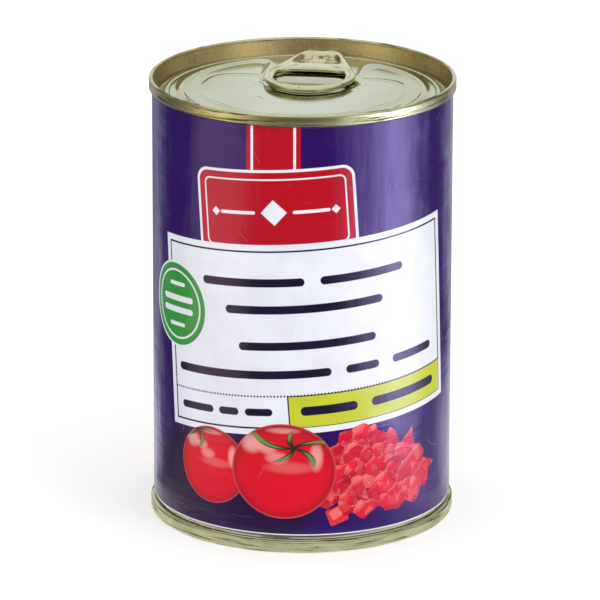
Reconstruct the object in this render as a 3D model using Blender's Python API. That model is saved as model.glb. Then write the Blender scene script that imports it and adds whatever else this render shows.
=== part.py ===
"""A shut, full food tin with a ring-pull end and a paper label, in metres with +Z up.

It is a round three-piece tin: a body closed by a double seam at each end. The origin is the centre of the
circle that the tin stands on, the front of the label faces -Y, and the nose of the ring-pull tab points away
from it. The filled body is one solid, because nothing of its inside can be seen. Neighbouring pieces that
touch on the real tin keep a gap of 0.3 mm here.
"""

import math

import bmesh
import bpy
from mathutils import Matrix, Vector

MM = 0.001
GAP = 0.3 * MM
SEGMENTS = 72
WELD_DISTANCE = 0.001 * MM

# The tin as a whole
TIN_HEIGHT = 112.0 * MM
SEAM_RADIUS = 38.1 * MM
BODY_RADIUS = 36.75 * MM
TOP_SEAM_HEIGHT = 2.9 * MM
BOTTOM_SEAM_HEIGHT = 3.0 * MM

# The double seam, in section
CREST_RADIUS = 0.55 * MM
RIM_INNER_RADIUS = 37.0 * MM
SEAM_EDGE_ROUND = 0.3 * MM

# The label, a wrap of paper
LABEL_THICKNESS = 0.28 * MM
LABEL_INNER_RADIUS = BODY_RADIUS + GAP
LABEL_BOTTOM = 4.4 * MM

# The ring-pull end: chuck wall, groove and panel
CHUCK_FOOT_RADIUS = 36.15 * MM
CHUCK_FOOT_HEIGHT = 108.2 * MM
GROOVE_RADIUS = 35.3 * MM
GROOVE_BOTTOM = 107.3 * MM
GROOVE_ROUND = 0.5 * MM
PANEL_EDGE_RADIUS = 34.4 * MM
PANEL_HEIGHT = 108.25 * MM
END_PLUG_BOTTOM = 105.8 * MM
PANEL_RING_STEP = 1.5 * MM
SCORE_RADIUS = 33.2 * MM
SCORE_DEPTH = 0.12 * MM

# Beads pressed into the panel, each left open round the tab's nose
OUTER_BEAD_RADIUS = 30.2 * MM
OUTER_BEAD_HEIGHT = 0.45 * MM
OUTER_BEAD_HALF_WIDTH = 1.5 * MM
NOTCH_HALF_WIDTH = 11.8 * MM
NOTCH_START = 13.4 * MM
INNER_BEAD_RADIUS = 24.7 * MM
INNER_BEAD_HEIGHT = 0.2 * MM
INNER_BEAD_HALF_WIDTH = 1.5 * MM
INNER_BEAD_BACK = 12.0 * MM
BEAD_CORNER_ROUND = 4.0 * MM
BEAD_FADE = 2.0 * MM

# The ring-pull tab, along its own axis, which runs through the rivet towards the nose
TAB_TURN = math.radians(8.0)
TAB_SIDE_SHIFT = 0.6 * MM
TAB_BOTTOM = 108.7 * MM
TAB_THICKNESS = 1.45 * MM
TAB_CURL_RADIUS = TAB_THICKNESS / 2
RING_CENTRE = 8.5 * MM
RING_HALF_WIDTH = 11.5 * MM
RING_HALF_LENGTH = 13.8 * MM
NOSE_CENTRE = 27.1 * MM
NOSE_RADIUS = 6.6 * MM
HOLE_CENTRE = 7.0 * MM
HOLE_HALF_WIDTH = 8.8 * MM
HOLE_FRONT_LENGTH = 9.0 * MM
HOLE_BACK_LENGTH = 7.3 * MM
HOLE_BACK_SQUARENESS = 3.6
WINDOW_FRONT = 19.5 * MM
WINDOW_BACK = 28.9 * MM
WINDOW_FRONT_HALF_WIDTH = 6.3 * MM
WINDOW_BACK_HALF_WIDTH = 4.4 * MM
WINDOW_CORNER_ROUND = 1.4 * MM
WINDOW_FLOOR = 109.1 * MM
CURL_STEPS = 4
OUTLINE_HALVINGS = 40

# The finger well under the ring
WELL_MARGIN = 1.8 * MM
WELL_DEPTH = 1.0 * MM
WELL_SLOPE = 1.6 * MM
WELL_BACK = 10.6 * MM
WELL_CORNER_ROUND = 2.0 * MM

# The rivet that holds the tab
RIVET_CENTRE = 22.2 * MM
RIVET_STUD_RADIUS = 1.4 * MM
RIVET_ROOT = PANEL_HEIGHT - 1.0 * MM
RIVET_HEAD_RADIUS = 2.4 * MM
RIVET_HEAD_TOP = 109.8 * MM
RIVET_EDGE_ROUND = 0.2 * MM
RIVET_HOLE_SEGMENTS = 24

# The bottom end
BASE_CREST_FLAT = 0.5 * MM
BASE_WALL_FOOT_RADIUS = 35.45 * MM
BASE_WALL_FOOT_HEIGHT = 3.5 * MM
BASE_GROOVE_RADIUS = 34.9 * MM
BASE_GROOVE_HEIGHT = 4.2 * MM
BASE_GROOVE_FLAT = 0.3 * MM
BASE_PANEL_RADIUS = 34.0 * MM
BASE_PANEL_HEIGHT = 3.5 * MM
BASE_PLUG_RADIUS = 35.95 * MM
BASE_PLUG_TOP = 5.6 * MM
BASE_BEAD_RADII = (29.5 * MM, 22.0 * MM)
BASE_BEAD_HALF_WIDTH = 1.6 * MM
BASE_BEAD_DEPTH = 0.6 * MM


def clear_scene():
    """Removes every object of the open scene."""
    for thing in list(bpy.data.objects):
        bpy.data.objects.remove(thing, do_unlink=True)


def finish(name, colour, roughness, metallic):
    """A Principled material of one colour."""
    material = bpy.data.materials.new(name)
    material.use_nodes = True
    shader = material.node_tree.nodes["Principled BSDF"]
    shader.inputs["Base Color"].default_value = (*colour, 1.0)
    shader.inputs["Roughness"].default_value = roughness
    shader.inputs["Metallic"].default_value = metallic
    return material


def arc(centre_radius, centre_height, radius, start_degrees, end_degrees, steps):
    """Points (r, z) along an arc. Degrees run from +r towards +z."""
    points = []
    for i in range(steps + 1):
        angle = math.radians(start_degrees + (end_degrees - start_degrees) * i / steps)
        r = centre_radius + radius * math.cos(angle)
        z = centre_height + radius * math.sin(angle)
        points.append((r, z))
    return points


def turned(profile):
    """The bmesh of a closed (r, z) profile turned about +Z. Points on the axis become one vertex."""
    bm = bmesh.new()
    corners = [bm.verts.new((r, 0.0, z)) for r, z in profile]
    ends_on_axis = profile[0][0] == 0.0 and profile[-1][0] == 0.0
    following = corners[1:] if ends_on_axis else corners[1:] + corners[:1]
    edges = [bm.edges.new(pair) for pair in zip(corners, following)]
    bmesh.ops.spin(
        bm,
        geom=corners + edges,
        cent=(0.0, 0.0, 0.0),
        axis=(0.0, 0.0, 1.0),
        angle=math.tau,
        steps=SEGMENTS,
        use_merge=True,
    )
    bmesh.ops.remove_doubles(bm, verts=bm.verts, dist=WELD_DISTANCE)
    bmesh.ops.recalc_face_normals(bm, faces=bm.faces)
    return bm


def place(name, bm, material, sharp_degrees=40.0):
    """Turns a bmesh into a named, smoothly shaded object."""
    mesh = bpy.data.meshes.new(name)
    bm.to_mesh(mesh)
    bm.free()
    mesh.shade_smooth()
    mesh.set_sharp_from_angle(angle=math.radians(sharp_degrees))
    mesh.materials.append(material)
    piece = bpy.data.objects.new(name, mesh)
    bpy.context.scene.collection.objects.link(piece)
    return piece


def combine(piece, helper, operation):
    """Applies one exact Boolean to a piece and removes the helper."""
    modifier = piece.modifiers.new(operation.lower(), "BOOLEAN")
    modifier.operation = operation
    modifier.object = helper
    modifier.solver = "EXACT"
    graph = bpy.context.evaluated_depsgraph_get()
    result = bpy.data.meshes.new_from_object(piece.evaluated_get(graph))
    piece.modifiers.remove(modifier)
    piece.data = result
    bpy.data.objects.remove(helper, do_unlink=True)


def soft_max(a, b, rounding):
    """The larger of two distances, with the corner between them rounded."""
    blend = max(rounding - abs(a - b), 0.0) / rounding
    return max(a, b) + blend * blend * rounding / 4


def ridge(distance, half_width):
    """1 on the line of a bead, falling smoothly to 0 at its half width."""
    if abs(distance) >= half_width:
        return 0.0
    return 0.5 + 0.5 * math.cos(math.pi * distance / half_width)


def ramp(distance, width):
    """0 outside an edge, rising smoothly to 1 once a full width inside it (distances are negative inside)."""
    t = min(max(-distance / width, 0.0), 1.0)
    return t * t * (3 - 2 * t)


def to_tab(x, y):
    """(across, along) in the tab's own frame, from a point of the lid."""
    across = x * math.cos(TAB_TURN) - y * math.sin(TAB_TURN) - TAB_SIDE_SHIFT
    along = x * math.sin(TAB_TURN) + y * math.cos(TAB_TURN)
    return across, along


def from_tab(across, along):
    """The lid's (x, y) of a point in the tab's own frame."""
    shifted = across + TAB_SIDE_SHIFT
    x = shifted * math.cos(TAB_TURN) + along * math.sin(TAB_TURN)
    y = -shifted * math.sin(TAB_TURN) + along * math.cos(TAB_TURN)
    return x, y


def ring_distance(across, along):
    """How far a point lies outside the ring's oval outline. It is negative inside."""
    oval = math.hypot(across / RING_HALF_WIDTH, (along - RING_CENTRE) / RING_HALF_LENGTH)
    return (oval - 1.0) * RING_HALF_WIDTH


def panel_relief(x, y):
    """Height of the pressed panel at a point, above its plain level."""
    across, along = to_tab(x, y)
    radius = math.hypot(x, y)
    notch = max(abs(across) - NOTCH_HALF_WIDTH, NOTCH_START - along)
    outer = soft_max(radius - OUTER_BEAD_RADIUS, -notch, BEAD_CORNER_ROUND)
    inner = soft_max(radius - INNER_BEAD_RADIUS, along - INNER_BEAD_BACK, BEAD_CORNER_ROUND)
    well = soft_max(ring_distance(across, along) - WELL_MARGIN, along - WELL_BACK, WELL_CORNER_ROUND)
    sunk = ramp(well, WELL_SLOPE)
    height = OUTER_BEAD_HEIGHT * ridge(outer, OUTER_BEAD_HALF_WIDTH)
    height += INNER_BEAD_HEIGHT * ridge(inner, INNER_BEAD_HALF_WIDTH)
    under_tab = ramp(tab_distance(across, along) - BEAD_FADE, BEAD_FADE)
    room = TAB_BOTTOM - GAP - PANEL_HEIGHT
    height += (min(height, room) - height) * under_tab
    return height * (1.0 - sunk) - WELL_DEPTH * sunk


def panel_radii():
    """Radii of the rings of points that carry the panel's relief, from the centre outwards."""
    count = int(SCORE_RADIUS / PANEL_RING_STEP)
    return [SCORE_RADIUS * i / count for i in range(count)]


def top_end_profile():
    """Section of the ring-pull end, from its panel's middle outwards, over the seam and back under it."""
    seam_top = TIN_HEIGHT - CREST_RADIUS
    seam_bottom = TIN_HEIGHT - TOP_SEAM_HEIGHT
    inner_crest = RIM_INNER_RADIUS + CREST_RADIUS
    outer_crest = SEAM_RADIUS - CREST_RADIUS
    profile = [(r, PANEL_HEIGHT) for r in panel_radii()]
    profile += [(SCORE_RADIUS, PANEL_HEIGHT - SCORE_DEPTH), (PANEL_EDGE_RADIUS, PANEL_HEIGHT)]
    profile += arc(GROOVE_RADIUS, GROOVE_BOTTOM + GROOVE_ROUND, GROOVE_ROUND, -180, 0, 4)
    profile += [(CHUCK_FOOT_RADIUS, CHUCK_FOOT_HEIGHT)]
    profile += arc(inner_crest, seam_top, CREST_RADIUS, 180, 90, 3)
    profile += arc(outer_crest, seam_top, CREST_RADIUS, 90, 0, 3)
    edge_centre = SEAM_RADIUS - SEAM_EDGE_ROUND
    profile += arc(edge_centre, seam_bottom + SEAM_EDGE_ROUND, SEAM_EDGE_ROUND, 0, -90, 2)
    profile += [(BODY_RADIUS, seam_bottom), (BODY_RADIUS, END_PLUG_BOTTOM), (0.0, END_PLUG_BOTTOM)]
    return profile


def rivet_profile():
    """Section of the rivet: a stud that grows out of the panel, with a flat button on top of the tab."""
    head_bottom = WINDOW_FLOOR + GAP
    edge_radius = RIVET_HEAD_RADIUS - RIVET_EDGE_ROUND
    edge_height = RIVET_HEAD_TOP - RIVET_EDGE_ROUND
    profile = [(0.0, RIVET_ROOT), (RIVET_STUD_RADIUS, RIVET_ROOT), (RIVET_STUD_RADIUS, head_bottom)]
    profile += [(RIVET_HEAD_RADIUS, head_bottom)]
    profile += arc(edge_radius, edge_height, RIVET_EDGE_ROUND, 0, 90, 2)
    profile += [(0.0, RIVET_HEAD_TOP)]
    return profile


def make_top_end(material):
    """The lid in one piece: double seam, chuck wall, groove, pressed panel, finger well and rivet."""
    bm = turned(top_end_profile())
    for vertex in bm.verts:
        radius = math.hypot(vertex.co.x, vertex.co.y)
        if vertex.co.z > GROOVE_BOTTOM and radius < SCORE_RADIUS - WELD_DISTANCE:
            vertex.co.z = PANEL_HEIGHT + panel_relief(vertex.co.x, vertex.co.y)
    lid = place("top_end", bm, material)
    x, y = from_tab(0.0, RIVET_CENTRE)
    stud = turned(rivet_profile())
    bmesh.ops.translate(stud, verts=stud.verts, vec=(x, y, 0.0))
    combine(lid, place("rivet_helper", stud, material), "UNION")
    return lid


def base_panel():
    """Points (r, z) of the underside's panel with its two ring beads, from the middle outwards."""
    points = [(0.0, BASE_PANEL_HEIGHT)]
    for bead in sorted(BASE_BEAD_RADII):
        for step in (-1.0, -0.5, 0.0, 0.5, 1.0):
            rise = BASE_BEAD_DEPTH * ridge(step, 1.0)
            points.append((bead + step * BASE_BEAD_HALF_WIDTH, BASE_PANEL_HEIGHT + rise))
    points.append((BASE_PANEL_RADIUS, BASE_PANEL_HEIGHT))
    return points


def bottom_end_profile():
    """Section of the bottom end, from its underside's middle outwards, over its seam and up to its plug."""
    crest_middle = (RIM_INNER_RADIUS + SEAM_RADIUS) / 2
    inner_crest = crest_middle - BASE_CREST_FLAT / 2
    outer_crest = crest_middle + BASE_CREST_FLAT / 2
    inner_round = inner_crest - RIM_INNER_RADIUS
    outer_round = SEAM_RADIUS - outer_crest
    profile = base_panel()
    profile += [(BASE_GROOVE_RADIUS - BASE_GROOVE_FLAT, BASE_GROOVE_HEIGHT)]
    profile += [(BASE_GROOVE_RADIUS, BASE_GROOVE_HEIGHT)]
    profile += [(BASE_WALL_FOOT_RADIUS, BASE_WALL_FOOT_HEIGHT)]
    profile += arc(inner_crest, inner_round, inner_round, 180, 270, 3)
    profile += arc(outer_crest, outer_round, outer_round, 270, 360, 3)
    edge_centre = SEAM_RADIUS - SEAM_EDGE_ROUND
    profile += arc(edge_centre, BOTTOM_SEAM_HEIGHT - SEAM_EDGE_ROUND, SEAM_EDGE_ROUND, 0, 90, 2)
    profile += [(BASE_PLUG_RADIUS, BOTTOM_SEAM_HEIGHT), (BASE_PLUG_RADIUS, BASE_PLUG_TOP)]
    profile += [(0.0, BASE_PLUG_TOP)]
    return profile


def can_body_profile():
    """Section of the filled body. A short skirt reaches down round the bottom end's plug."""
    skirt_inner = BASE_PLUG_RADIUS + GAP
    skirt_bottom = BOTTOM_SEAM_HEIGHT + GAP
    recess_top = BASE_PLUG_TOP + GAP
    body_top = END_PLUG_BOTTOM - GAP
    return [
        (0.0, body_top),
        (BODY_RADIUS, body_top),
        (BODY_RADIUS, skirt_bottom),
        (skirt_inner, skirt_bottom),
        (skirt_inner, recess_top),
        (0.0, recess_top),
    ]


def label_profile():
    """Section of the paper wrap."""
    outer = LABEL_INNER_RADIUS + LABEL_THICKNESS
    top = TIN_HEIGHT - TOP_SEAM_HEIGHT - GAP
    inner = LABEL_INNER_RADIUS
    return [(inner, top), (outer, top), (outer, LABEL_BOTTOM), (inner, LABEL_BOTTOM)]


def outline_radius(direction):
    """How far the tab's outline lies from the middle of its finger hole, in an (across, along) direction.

    The outline is the ring's oval and the nose's circle, wrapped by two straight sides.
    """
    across, along = direction
    inside = 0.0
    outside = NOSE_CENTRE + NOSE_RADIUS
    for _ in range(OUTLINE_HALVINGS):
        middle = (inside + outside) / 2
        if tab_distance(across * middle, HOLE_CENTRE + along * middle) < 0.0:
            inside = middle
        else:
            outside = middle
    return inside


def tab_distance(across, along):
    """A signed distance to the tab's outline, negative inside."""
    side = abs(across)
    reach = NOSE_CENTRE - RING_CENTRE
    taper = math.asin((RING_HALF_WIDTH - NOSE_RADIUS) / reach)
    side_line = side * math.cos(taper) + (along - RING_CENTRE) * math.sin(taper) - RING_HALF_WIDTH
    ring_tangent = RING_CENTRE + RING_HALF_WIDTH * math.sin(taper)
    nose_tangent = NOSE_CENTRE + NOSE_RADIUS * math.sin(taper)
    if along < RING_CENTRE:
        return ring_distance(across, along)
    if along < ring_tangent:
        return math.hypot(side, along - RING_CENTRE) - RING_HALF_WIDTH
    if along < nose_tangent:
        return side_line
    return math.hypot(side, along - NOSE_CENTRE) - NOSE_RADIUS


def hole_radius(direction):
    """How far the finger hole's edge lies from its middle: an oval in front and a squarer back."""
    across, along = direction
    if along <= 0.0:
        return 1.0 / math.hypot(across / HOLE_HALF_WIDTH, along / HOLE_FRONT_LENGTH)
    power = HOLE_BACK_SQUARENESS
    total = abs(across / HOLE_HALF_WIDTH) ** power + abs(along / HOLE_BACK_LENGTH) ** power
    return total ** (-1.0 / power)


def tab_loop(radius_of):
    """One closed loop round the finger hole, as (across, along) points, from a radius for each direction."""
    points = []
    for i in range(SEGMENTS):
        angle = math.tau * i / SEGMENTS
        direction = (math.cos(angle), math.sin(angle))
        distance = radius_of(direction)
        points.append(Vector((direction[0] * distance, HOLE_CENTRE + direction[1] * distance)))
    return points


def moved_in(loop, distance):
    """The loop moved towards its left side by a distance, square to its own run."""
    moved = []
    for i, point in enumerate(loop):
        run = (loop[(i + 1) % len(loop)] - loop[i - 1]).normalized()
        moved.append(point + Vector((-run.y, run.x)) * distance)
    return moved


def tab_sections():
    """Loops round the tab with their heights: down the outline's curl, then up the hole's curl."""
    sections = []
    for loop, inward, turn in ((tab_loop(outline_radius), 1.0, -1.0), (tab_loop(hole_radius), -1.0, 1.0)):
        for step in range(CURL_STEPS + 1):
            angle = turn * (math.pi * step / CURL_STEPS - math.pi / 2)
            set_back = TAB_CURL_RADIUS * (1.0 - math.cos(angle))
            height = TAB_BOTTOM + TAB_CURL_RADIUS * (1.0 + math.sin(angle))
            sections.append((moved_in(loop, inward * set_back), height))
    return sections


def window_cutter(material):
    """The tapered recess behind the cross-bar, in which the rivet sits."""
    bm = bmesh.new()
    corners = (
        (-WINDOW_FRONT_HALF_WIDTH, WINDOW_FRONT),
        (WINDOW_FRONT_HALF_WIDTH, WINDOW_FRONT),
        (WINDOW_BACK_HALF_WIDTH, WINDOW_BACK),
        (-WINDOW_BACK_HALF_WIDTH, WINDOW_BACK),
    )
    floor = [bm.verts.new((*from_tab(across, along), WINDOW_FLOOR)) for across, along in corners]
    bm.faces.new(floor)
    bmesh.ops.bevel(bm, geom=bm.verts, offset=WINDOW_CORNER_ROUND, segments=3, profile=0.5, affect="VERTICES")
    grown = bmesh.ops.extrude_face_region(bm, geom=bm.faces)["geom"]
    raised = [part for part in grown if isinstance(part, bmesh.types.BMVert)]
    bmesh.ops.translate(bm, verts=raised, vec=(0.0, 0.0, 2 * TAB_THICKNESS))
    bmesh.ops.recalc_face_normals(bm, faces=bm.faces)
    return place("window_helper", bm, material)


def rivet_hole_cutter(material):
    """The round hole that the rivet's stud passes through."""
    bm = bmesh.new()
    x, y = from_tab(0.0, RIVET_CENTRE)
    bmesh.ops.create_cone(
        bm,
        cap_ends=True,
        segments=RIVET_HOLE_SEGMENTS,
        radius1=RIVET_STUD_RADIUS + GAP,
        radius2=RIVET_STUD_RADIUS + GAP,
        depth=2 * TAB_THICKNESS,
        matrix=Matrix.Translation((x, y, TAB_BOTTOM)),
    )
    return place("rivet_hole_helper", bm, material)


def make_pull_tab(material):
    """The tab: a ring with a finger hole, curled edges, a nose, and a recess for the rivet."""
    bm = bmesh.new()
    rings = []
    for loop, height in tab_sections():
        rings.append([bm.verts.new((*from_tab(point.x, point.y), height)) for point in loop])
    for ring, following in zip(rings, rings[1:] + rings[:1]):
        for i in range(SEGMENTS):
            j = (i + 1) % SEGMENTS
            bm.faces.new((ring[i], ring[j], following[j], following[i]))
    bmesh.ops.recalc_face_normals(bm, faces=bm.faces)
    tab = place("pull_tab", bm, material)
    combine(tab, window_cutter(material), "DIFFERENCE")
    combine(tab, rivet_hole_cutter(material), "DIFFERENCE")
    return tab


def main():
    """Builds the tin's five pieces."""
    clear_scene()
    tinplate = finish("bright_tinplate", (0.62, 0.61, 0.55), 0.25, 1.0)
    lacquer = finish("gold_lacquered_tinplate", (0.58, 0.55, 0.40), 0.22, 1.0)
    paper = finish("glossy_purple_label", (0.07, 0.03, 0.19), 0.3, 0.0)
    place("can_body", turned(can_body_profile()), tinplate)
    place("label", turned(label_profile()), paper)
    make_top_end(lacquer)
    place("bottom_end", turned(bottom_end_profile()), tinplate)
    make_pull_tab(lacquer)


main()
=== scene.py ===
# %% [markdown]
# # A tin of tomatoes with a ring-pull lid
#
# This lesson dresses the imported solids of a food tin. The solids stay where they are; every piece here is
# modelled again, finer, in the same place, and gets its own procedural finish. All sizes are in millimetres
# until a mesh is made, because a tin is measured in millimetres, and MM turns them into Blender's metres.

import math

import bmesh
import bpy
import numpy as np
from mathutils import Matrix, Vector


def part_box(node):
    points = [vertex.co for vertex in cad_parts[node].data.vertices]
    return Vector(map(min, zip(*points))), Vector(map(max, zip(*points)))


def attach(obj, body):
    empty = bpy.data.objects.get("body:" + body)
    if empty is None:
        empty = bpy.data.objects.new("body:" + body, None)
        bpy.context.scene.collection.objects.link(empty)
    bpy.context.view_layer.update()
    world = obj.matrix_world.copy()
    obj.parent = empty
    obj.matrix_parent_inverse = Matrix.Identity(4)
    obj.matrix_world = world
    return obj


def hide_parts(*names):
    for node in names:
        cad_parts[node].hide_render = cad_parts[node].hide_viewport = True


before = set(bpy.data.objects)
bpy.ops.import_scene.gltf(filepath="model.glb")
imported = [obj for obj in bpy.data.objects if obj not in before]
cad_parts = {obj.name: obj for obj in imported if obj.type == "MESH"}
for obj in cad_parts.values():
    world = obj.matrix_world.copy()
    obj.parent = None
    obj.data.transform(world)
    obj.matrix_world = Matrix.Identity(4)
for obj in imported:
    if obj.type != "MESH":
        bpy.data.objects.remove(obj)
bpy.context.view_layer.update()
MM = 0.001


def node_size(node):
    """(outer radius, lowest height, highest height) of a round node, in millimetres."""
    low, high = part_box(node)
    return high.x / MM, low.z / MM, high.z / MM


SEAM_RADIUS, _, TIN_TOP = node_size("top_end")
LABEL_RADIUS, LABEL_LOW, LABEL_HIGH = node_size("label")
BODY_RADIUS, _, BODY_TOP = node_size("can_body")
print(f"tin {2 * SEAM_RADIUS:.1f} mm across and {TIN_TOP:.1f} mm high")
print(f"label from {LABEL_LOW:.1f} to {LABEL_HIGH:.1f} mm")

# %% [markdown]
# ## Camera
#
# The photograph was taken from far away with a long lens, a little above the tin. The camera's place was
# worked out from the two seams and the tin's sides. A camera matrix has three columns that say where its
# right, its up and its back point, so a small roll is a turn of the first two.

# %% The camera
CAMERA_DISTANCE = 1355.4
CAMERA_ELEVATION = math.radians(17.386)
CAMERA_ROLL = math.radians(-0.148)
CAMERA_TARGET = Vector((-0.513, 0.0, 53.66))
LENS = 324.35
SENSOR = 36.0

back = Vector((0.0, -math.cos(CAMERA_ELEVATION), math.sin(CAMERA_ELEVATION)))
right = Vector((1.0, 0.0, 0.0))
up = Vector((0.0, math.sin(CAMERA_ELEVATION), math.cos(CAMERA_ELEVATION)))
rolled_right = right * math.cos(CAMERA_ROLL) - up * math.sin(CAMERA_ROLL)
rolled_up = right * math.sin(CAMERA_ROLL) + up * math.cos(CAMERA_ROLL)

camera_data = bpy.data.cameras.new("product_camera")
camera_data.lens = LENS
camera_data.sensor_width = SENSOR
camera_data.clip_end = 20.0
camera = bpy.data.objects.new("product_camera", camera_data)
turn = Matrix((rolled_right, rolled_up, back)).transposed().to_4x4()
camera.matrix_world = Matrix.Translation((CAMERA_TARGET + back * CAMERA_DISTANCE) * MM) @ turn
bpy.context.scene.collection.objects.link(camera)
bpy.context.scene.camera = camera
print("camera at", [round(value, 3) for value in camera.location])

# %% [markdown]
# ## Building node trees in code
#
# Materials and Geometry Nodes are both trees of nodes. Three small helpers keep the code readable: one
# connects a value or another socket, one adds a Math node, and one makes a group with named sockets.


# %% Node helpers
def feed(tree, socket, value):
    """Links a socket to another one, or sets its value."""
    if isinstance(value, bpy.types.NodeSocket):
        tree.links.new(value, socket)
    elif value is not None:
        socket.default_value = value


def calc(tree, operation, *values, clamp=False):
    """One Math node, as its output socket."""
    node = tree.nodes.new("ShaderNodeMath")
    node.operation = operation
    node.use_clamp = clamp
    for socket, value in zip(node.inputs, values):
        feed(tree, socket, value)
    return node.outputs[0]


def node_of(tree, kind, settings=(), **values):
    """Any node: settings are its properties, and values go to the inputs of those names."""
    node = tree.nodes.new(kind)
    for name, value in dict(settings).items():
        setattr(node, name, value)
    for name, value in values.items():
        feed(tree, node.inputs[name.replace("_", " ")], value)
    return node


def new_group(name, kind, inputs, outputs):
    """A node group with named sockets: (tree, its input node, its output node)."""
    tree = bpy.data.node_groups.new(name, kind)
    for label, socket_kind, value in inputs:
        socket = tree.interface.new_socket(label, in_out="INPUT", socket_type="NodeSocket" + socket_kind)
        if value is not None:
            socket.default_value = value
    for label, socket_kind in outputs:
        tree.interface.new_socket(label, in_out="OUTPUT", socket_type="NodeSocket" + socket_kind)
    return tree, tree.nodes.new("NodeGroupInput"), tree.nodes.new("NodeGroupOutput")


def use_group(tree, group, **values):
    """Places a shader group in a tree and feeds its named inputs."""
    node = tree.nodes.new("ShaderNodeGroup")
    node.node_tree = group
    for name, value in values.items():
        feed(tree, node.inputs[name.replace("_", " ")], value)
    return node


def srgb(red, green, blue):
    """A screen colour of 0 to 255 as the linear colour that shaders use."""
    linear = []
    for value in (red, green, blue):
        share = value / 255
        linear.append(share / 12.92 if share <= 0.04045 else ((share + 0.055) / 1.055) ** 2.4)
    return (*linear, 1.0)


print("helpers ready; mid grey is", [round(value, 3) for value in srgb(128, 128, 128)])

# %% [markdown]
# ## Turning on a lathe, with Geometry Nodes
#
# A tin's seams, walls and ends are all round, so each is one profile turned about the axis. The tree below
# is a lathe: it lays out a grid, asks the profile for the radius and height of each row, and bends the rows
# into circles. Merging by distance closes the ring and the pole. It has a named input for its steps, so the
# same tree turns the coarse base and the fine lid.


# %% The lathe tree
def finished(tree, geometry, finish, result):
    """Ends a tree: real geometry instead of instances, with its material."""
    real = node_of(tree, "GeometryNodeRealizeInstances", Geometry=geometry)
    dressed = node_of(tree, "GeometryNodeSetMaterial", Geometry=real.outputs[0], Material=finish)
    feed(tree, result, dressed.outputs[0])


def build_lathe():
    """Geometry Nodes tree that turns a chain of points (radius, 0, height) about +Z."""
    tree, start, end = new_group(
        "lathe",
        "GeometryNodeTree",
        [("Profile", "Geometry", None), ("Steps", "Int", 96), ("Finish", "Material", None)],
        [("Turned", "Geometry")],
    )
    size = node_of(tree, "GeometryNodeAttributeDomainSize", Geometry=start.outputs["Profile"])
    rows = size.outputs["Point Count"]
    columns = calc(tree, "ADD", start.outputs["Steps"], 1)
    grid = node_of(tree, "GeometryNodeMeshGrid", Size_X=1.0, Size_Y=1.0, Vertices_X=columns, Vertices_Y=rows)
    position = tree.nodes.new("GeometryNodeInputPosition").outputs[0]
    place = node_of(tree, "ShaderNodeSeparateXYZ", Vector=position)
    last_row = calc(tree, "SUBTRACT", rows, 1)
    along = calc(tree, "MULTIPLY", calc(tree, "ADD", place.outputs["Y"], 0.5), last_row)
    row = calc(tree, "ROUND", along)
    angle = calc(tree, "MULTIPLY", calc(tree, "ADD", place.outputs["X"], 0.5), math.tau)
    sample = node_of(
        tree,
        "GeometryNodeSampleIndex",
        {"data_type": "FLOAT_VECTOR", "domain": "POINT"},
        Geometry=start.outputs["Profile"],
        Value=position,
        Index=row,
    )
    point = node_of(tree, "ShaderNodeSeparateXYZ", Vector=sample.outputs["Value"])
    circle = node_of(
        tree,
        "ShaderNodeCombineXYZ",
        X=calc(tree, "MULTIPLY", point.outputs["X"], calc(tree, "COSINE", angle)),
        Y=calc(tree, "MULTIPLY", point.outputs["X"], calc(tree, "SINE", angle)),
        Z=point.outputs["Z"],
    )
    sheet = grid.outputs["Mesh"]
    moved = node_of(tree, "GeometryNodeSetPosition", Geometry=sheet, Position=circle.outputs[0])
    merged = node_of(tree, "GeometryNodeMergeByDistance", Geometry=moved.outputs[0], Distance=0.002 * MM)
    finished(tree, merged.outputs[0], start.outputs["Finish"], end.inputs["Turned"])
    return tree


def set_input(modifier, name, value):
    """Sets a Geometry Nodes modifier's input by the identifier of its socket."""
    for item in modifier.node_group.interface.items_tree:
        if item.name == name and item.in_out == "INPUT":
            modifier[item.identifier] = value
            return
    raise KeyError(name)


def baked(piece):
    """Replaces a piece's mesh by what its modifiers make of it, and removes them."""
    graph = bpy.context.evaluated_depsgraph_get()
    mesh = bpy.data.meshes.new_from_object(piece.evaluated_get(graph), depsgraph=graph)
    piece.modifiers.clear()
    piece.data = mesh
    return piece


def dress(piece, *materials):
    """Gives a piece just these materials, the first one on every face."""
    piece.data.materials.clear()
    for material in materials:
        piece.data.materials.append(material)
    piece.data.polygons.foreach_set("material_index", [0] * len(piece.data.polygons))
    return piece


def tidy_mesh(piece, sharp_degrees=35.0):
    """Welds doubles, turns the faces outwards and shades the piece smooth but for its sharp edges."""
    bm = bmesh.new()
    bm.from_mesh(piece.data)
    bmesh.ops.remove_doubles(bm, verts=bm.verts, dist=0.001 * MM)
    bmesh.ops.recalc_face_normals(bm, faces=bm.faces)
    bm.to_mesh(piece.data)
    bm.free()
    piece.data.shade_smooth()
    piece.data.set_sharp_from_angle(angle=math.radians(sharp_degrees))
    return piece


def new_piece(name, vertices, faces, edges=()):
    """A linked mesh object from points in millimetres."""
    mesh = bpy.data.meshes.new(name)
    mesh.from_pydata([(x * MM, y * MM, z * MM) for x, y, z in vertices], list(edges), list(faces))
    piece = bpy.data.objects.new(name, mesh)
    bpy.context.scene.collection.objects.link(piece)
    return piece


LATHE = build_lathe()


def turned_piece(name, profile, steps, finish):
    """A round piece from its (radius, height) profile."""
    chain = [(i, i + 1) for i in range(len(profile) - 1)]
    piece = new_piece(name, [(r, 0.0, z) for r, z in profile], [], chain)
    modifier = piece.modifiers.new("lathe", "NODES")
    modifier.node_group = LATHE
    set_input(modifier, "Steps", steps)
    set_input(modifier, "Finish", finish)
    return dress(tidy_mesh(baked(piece)), finish)


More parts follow.
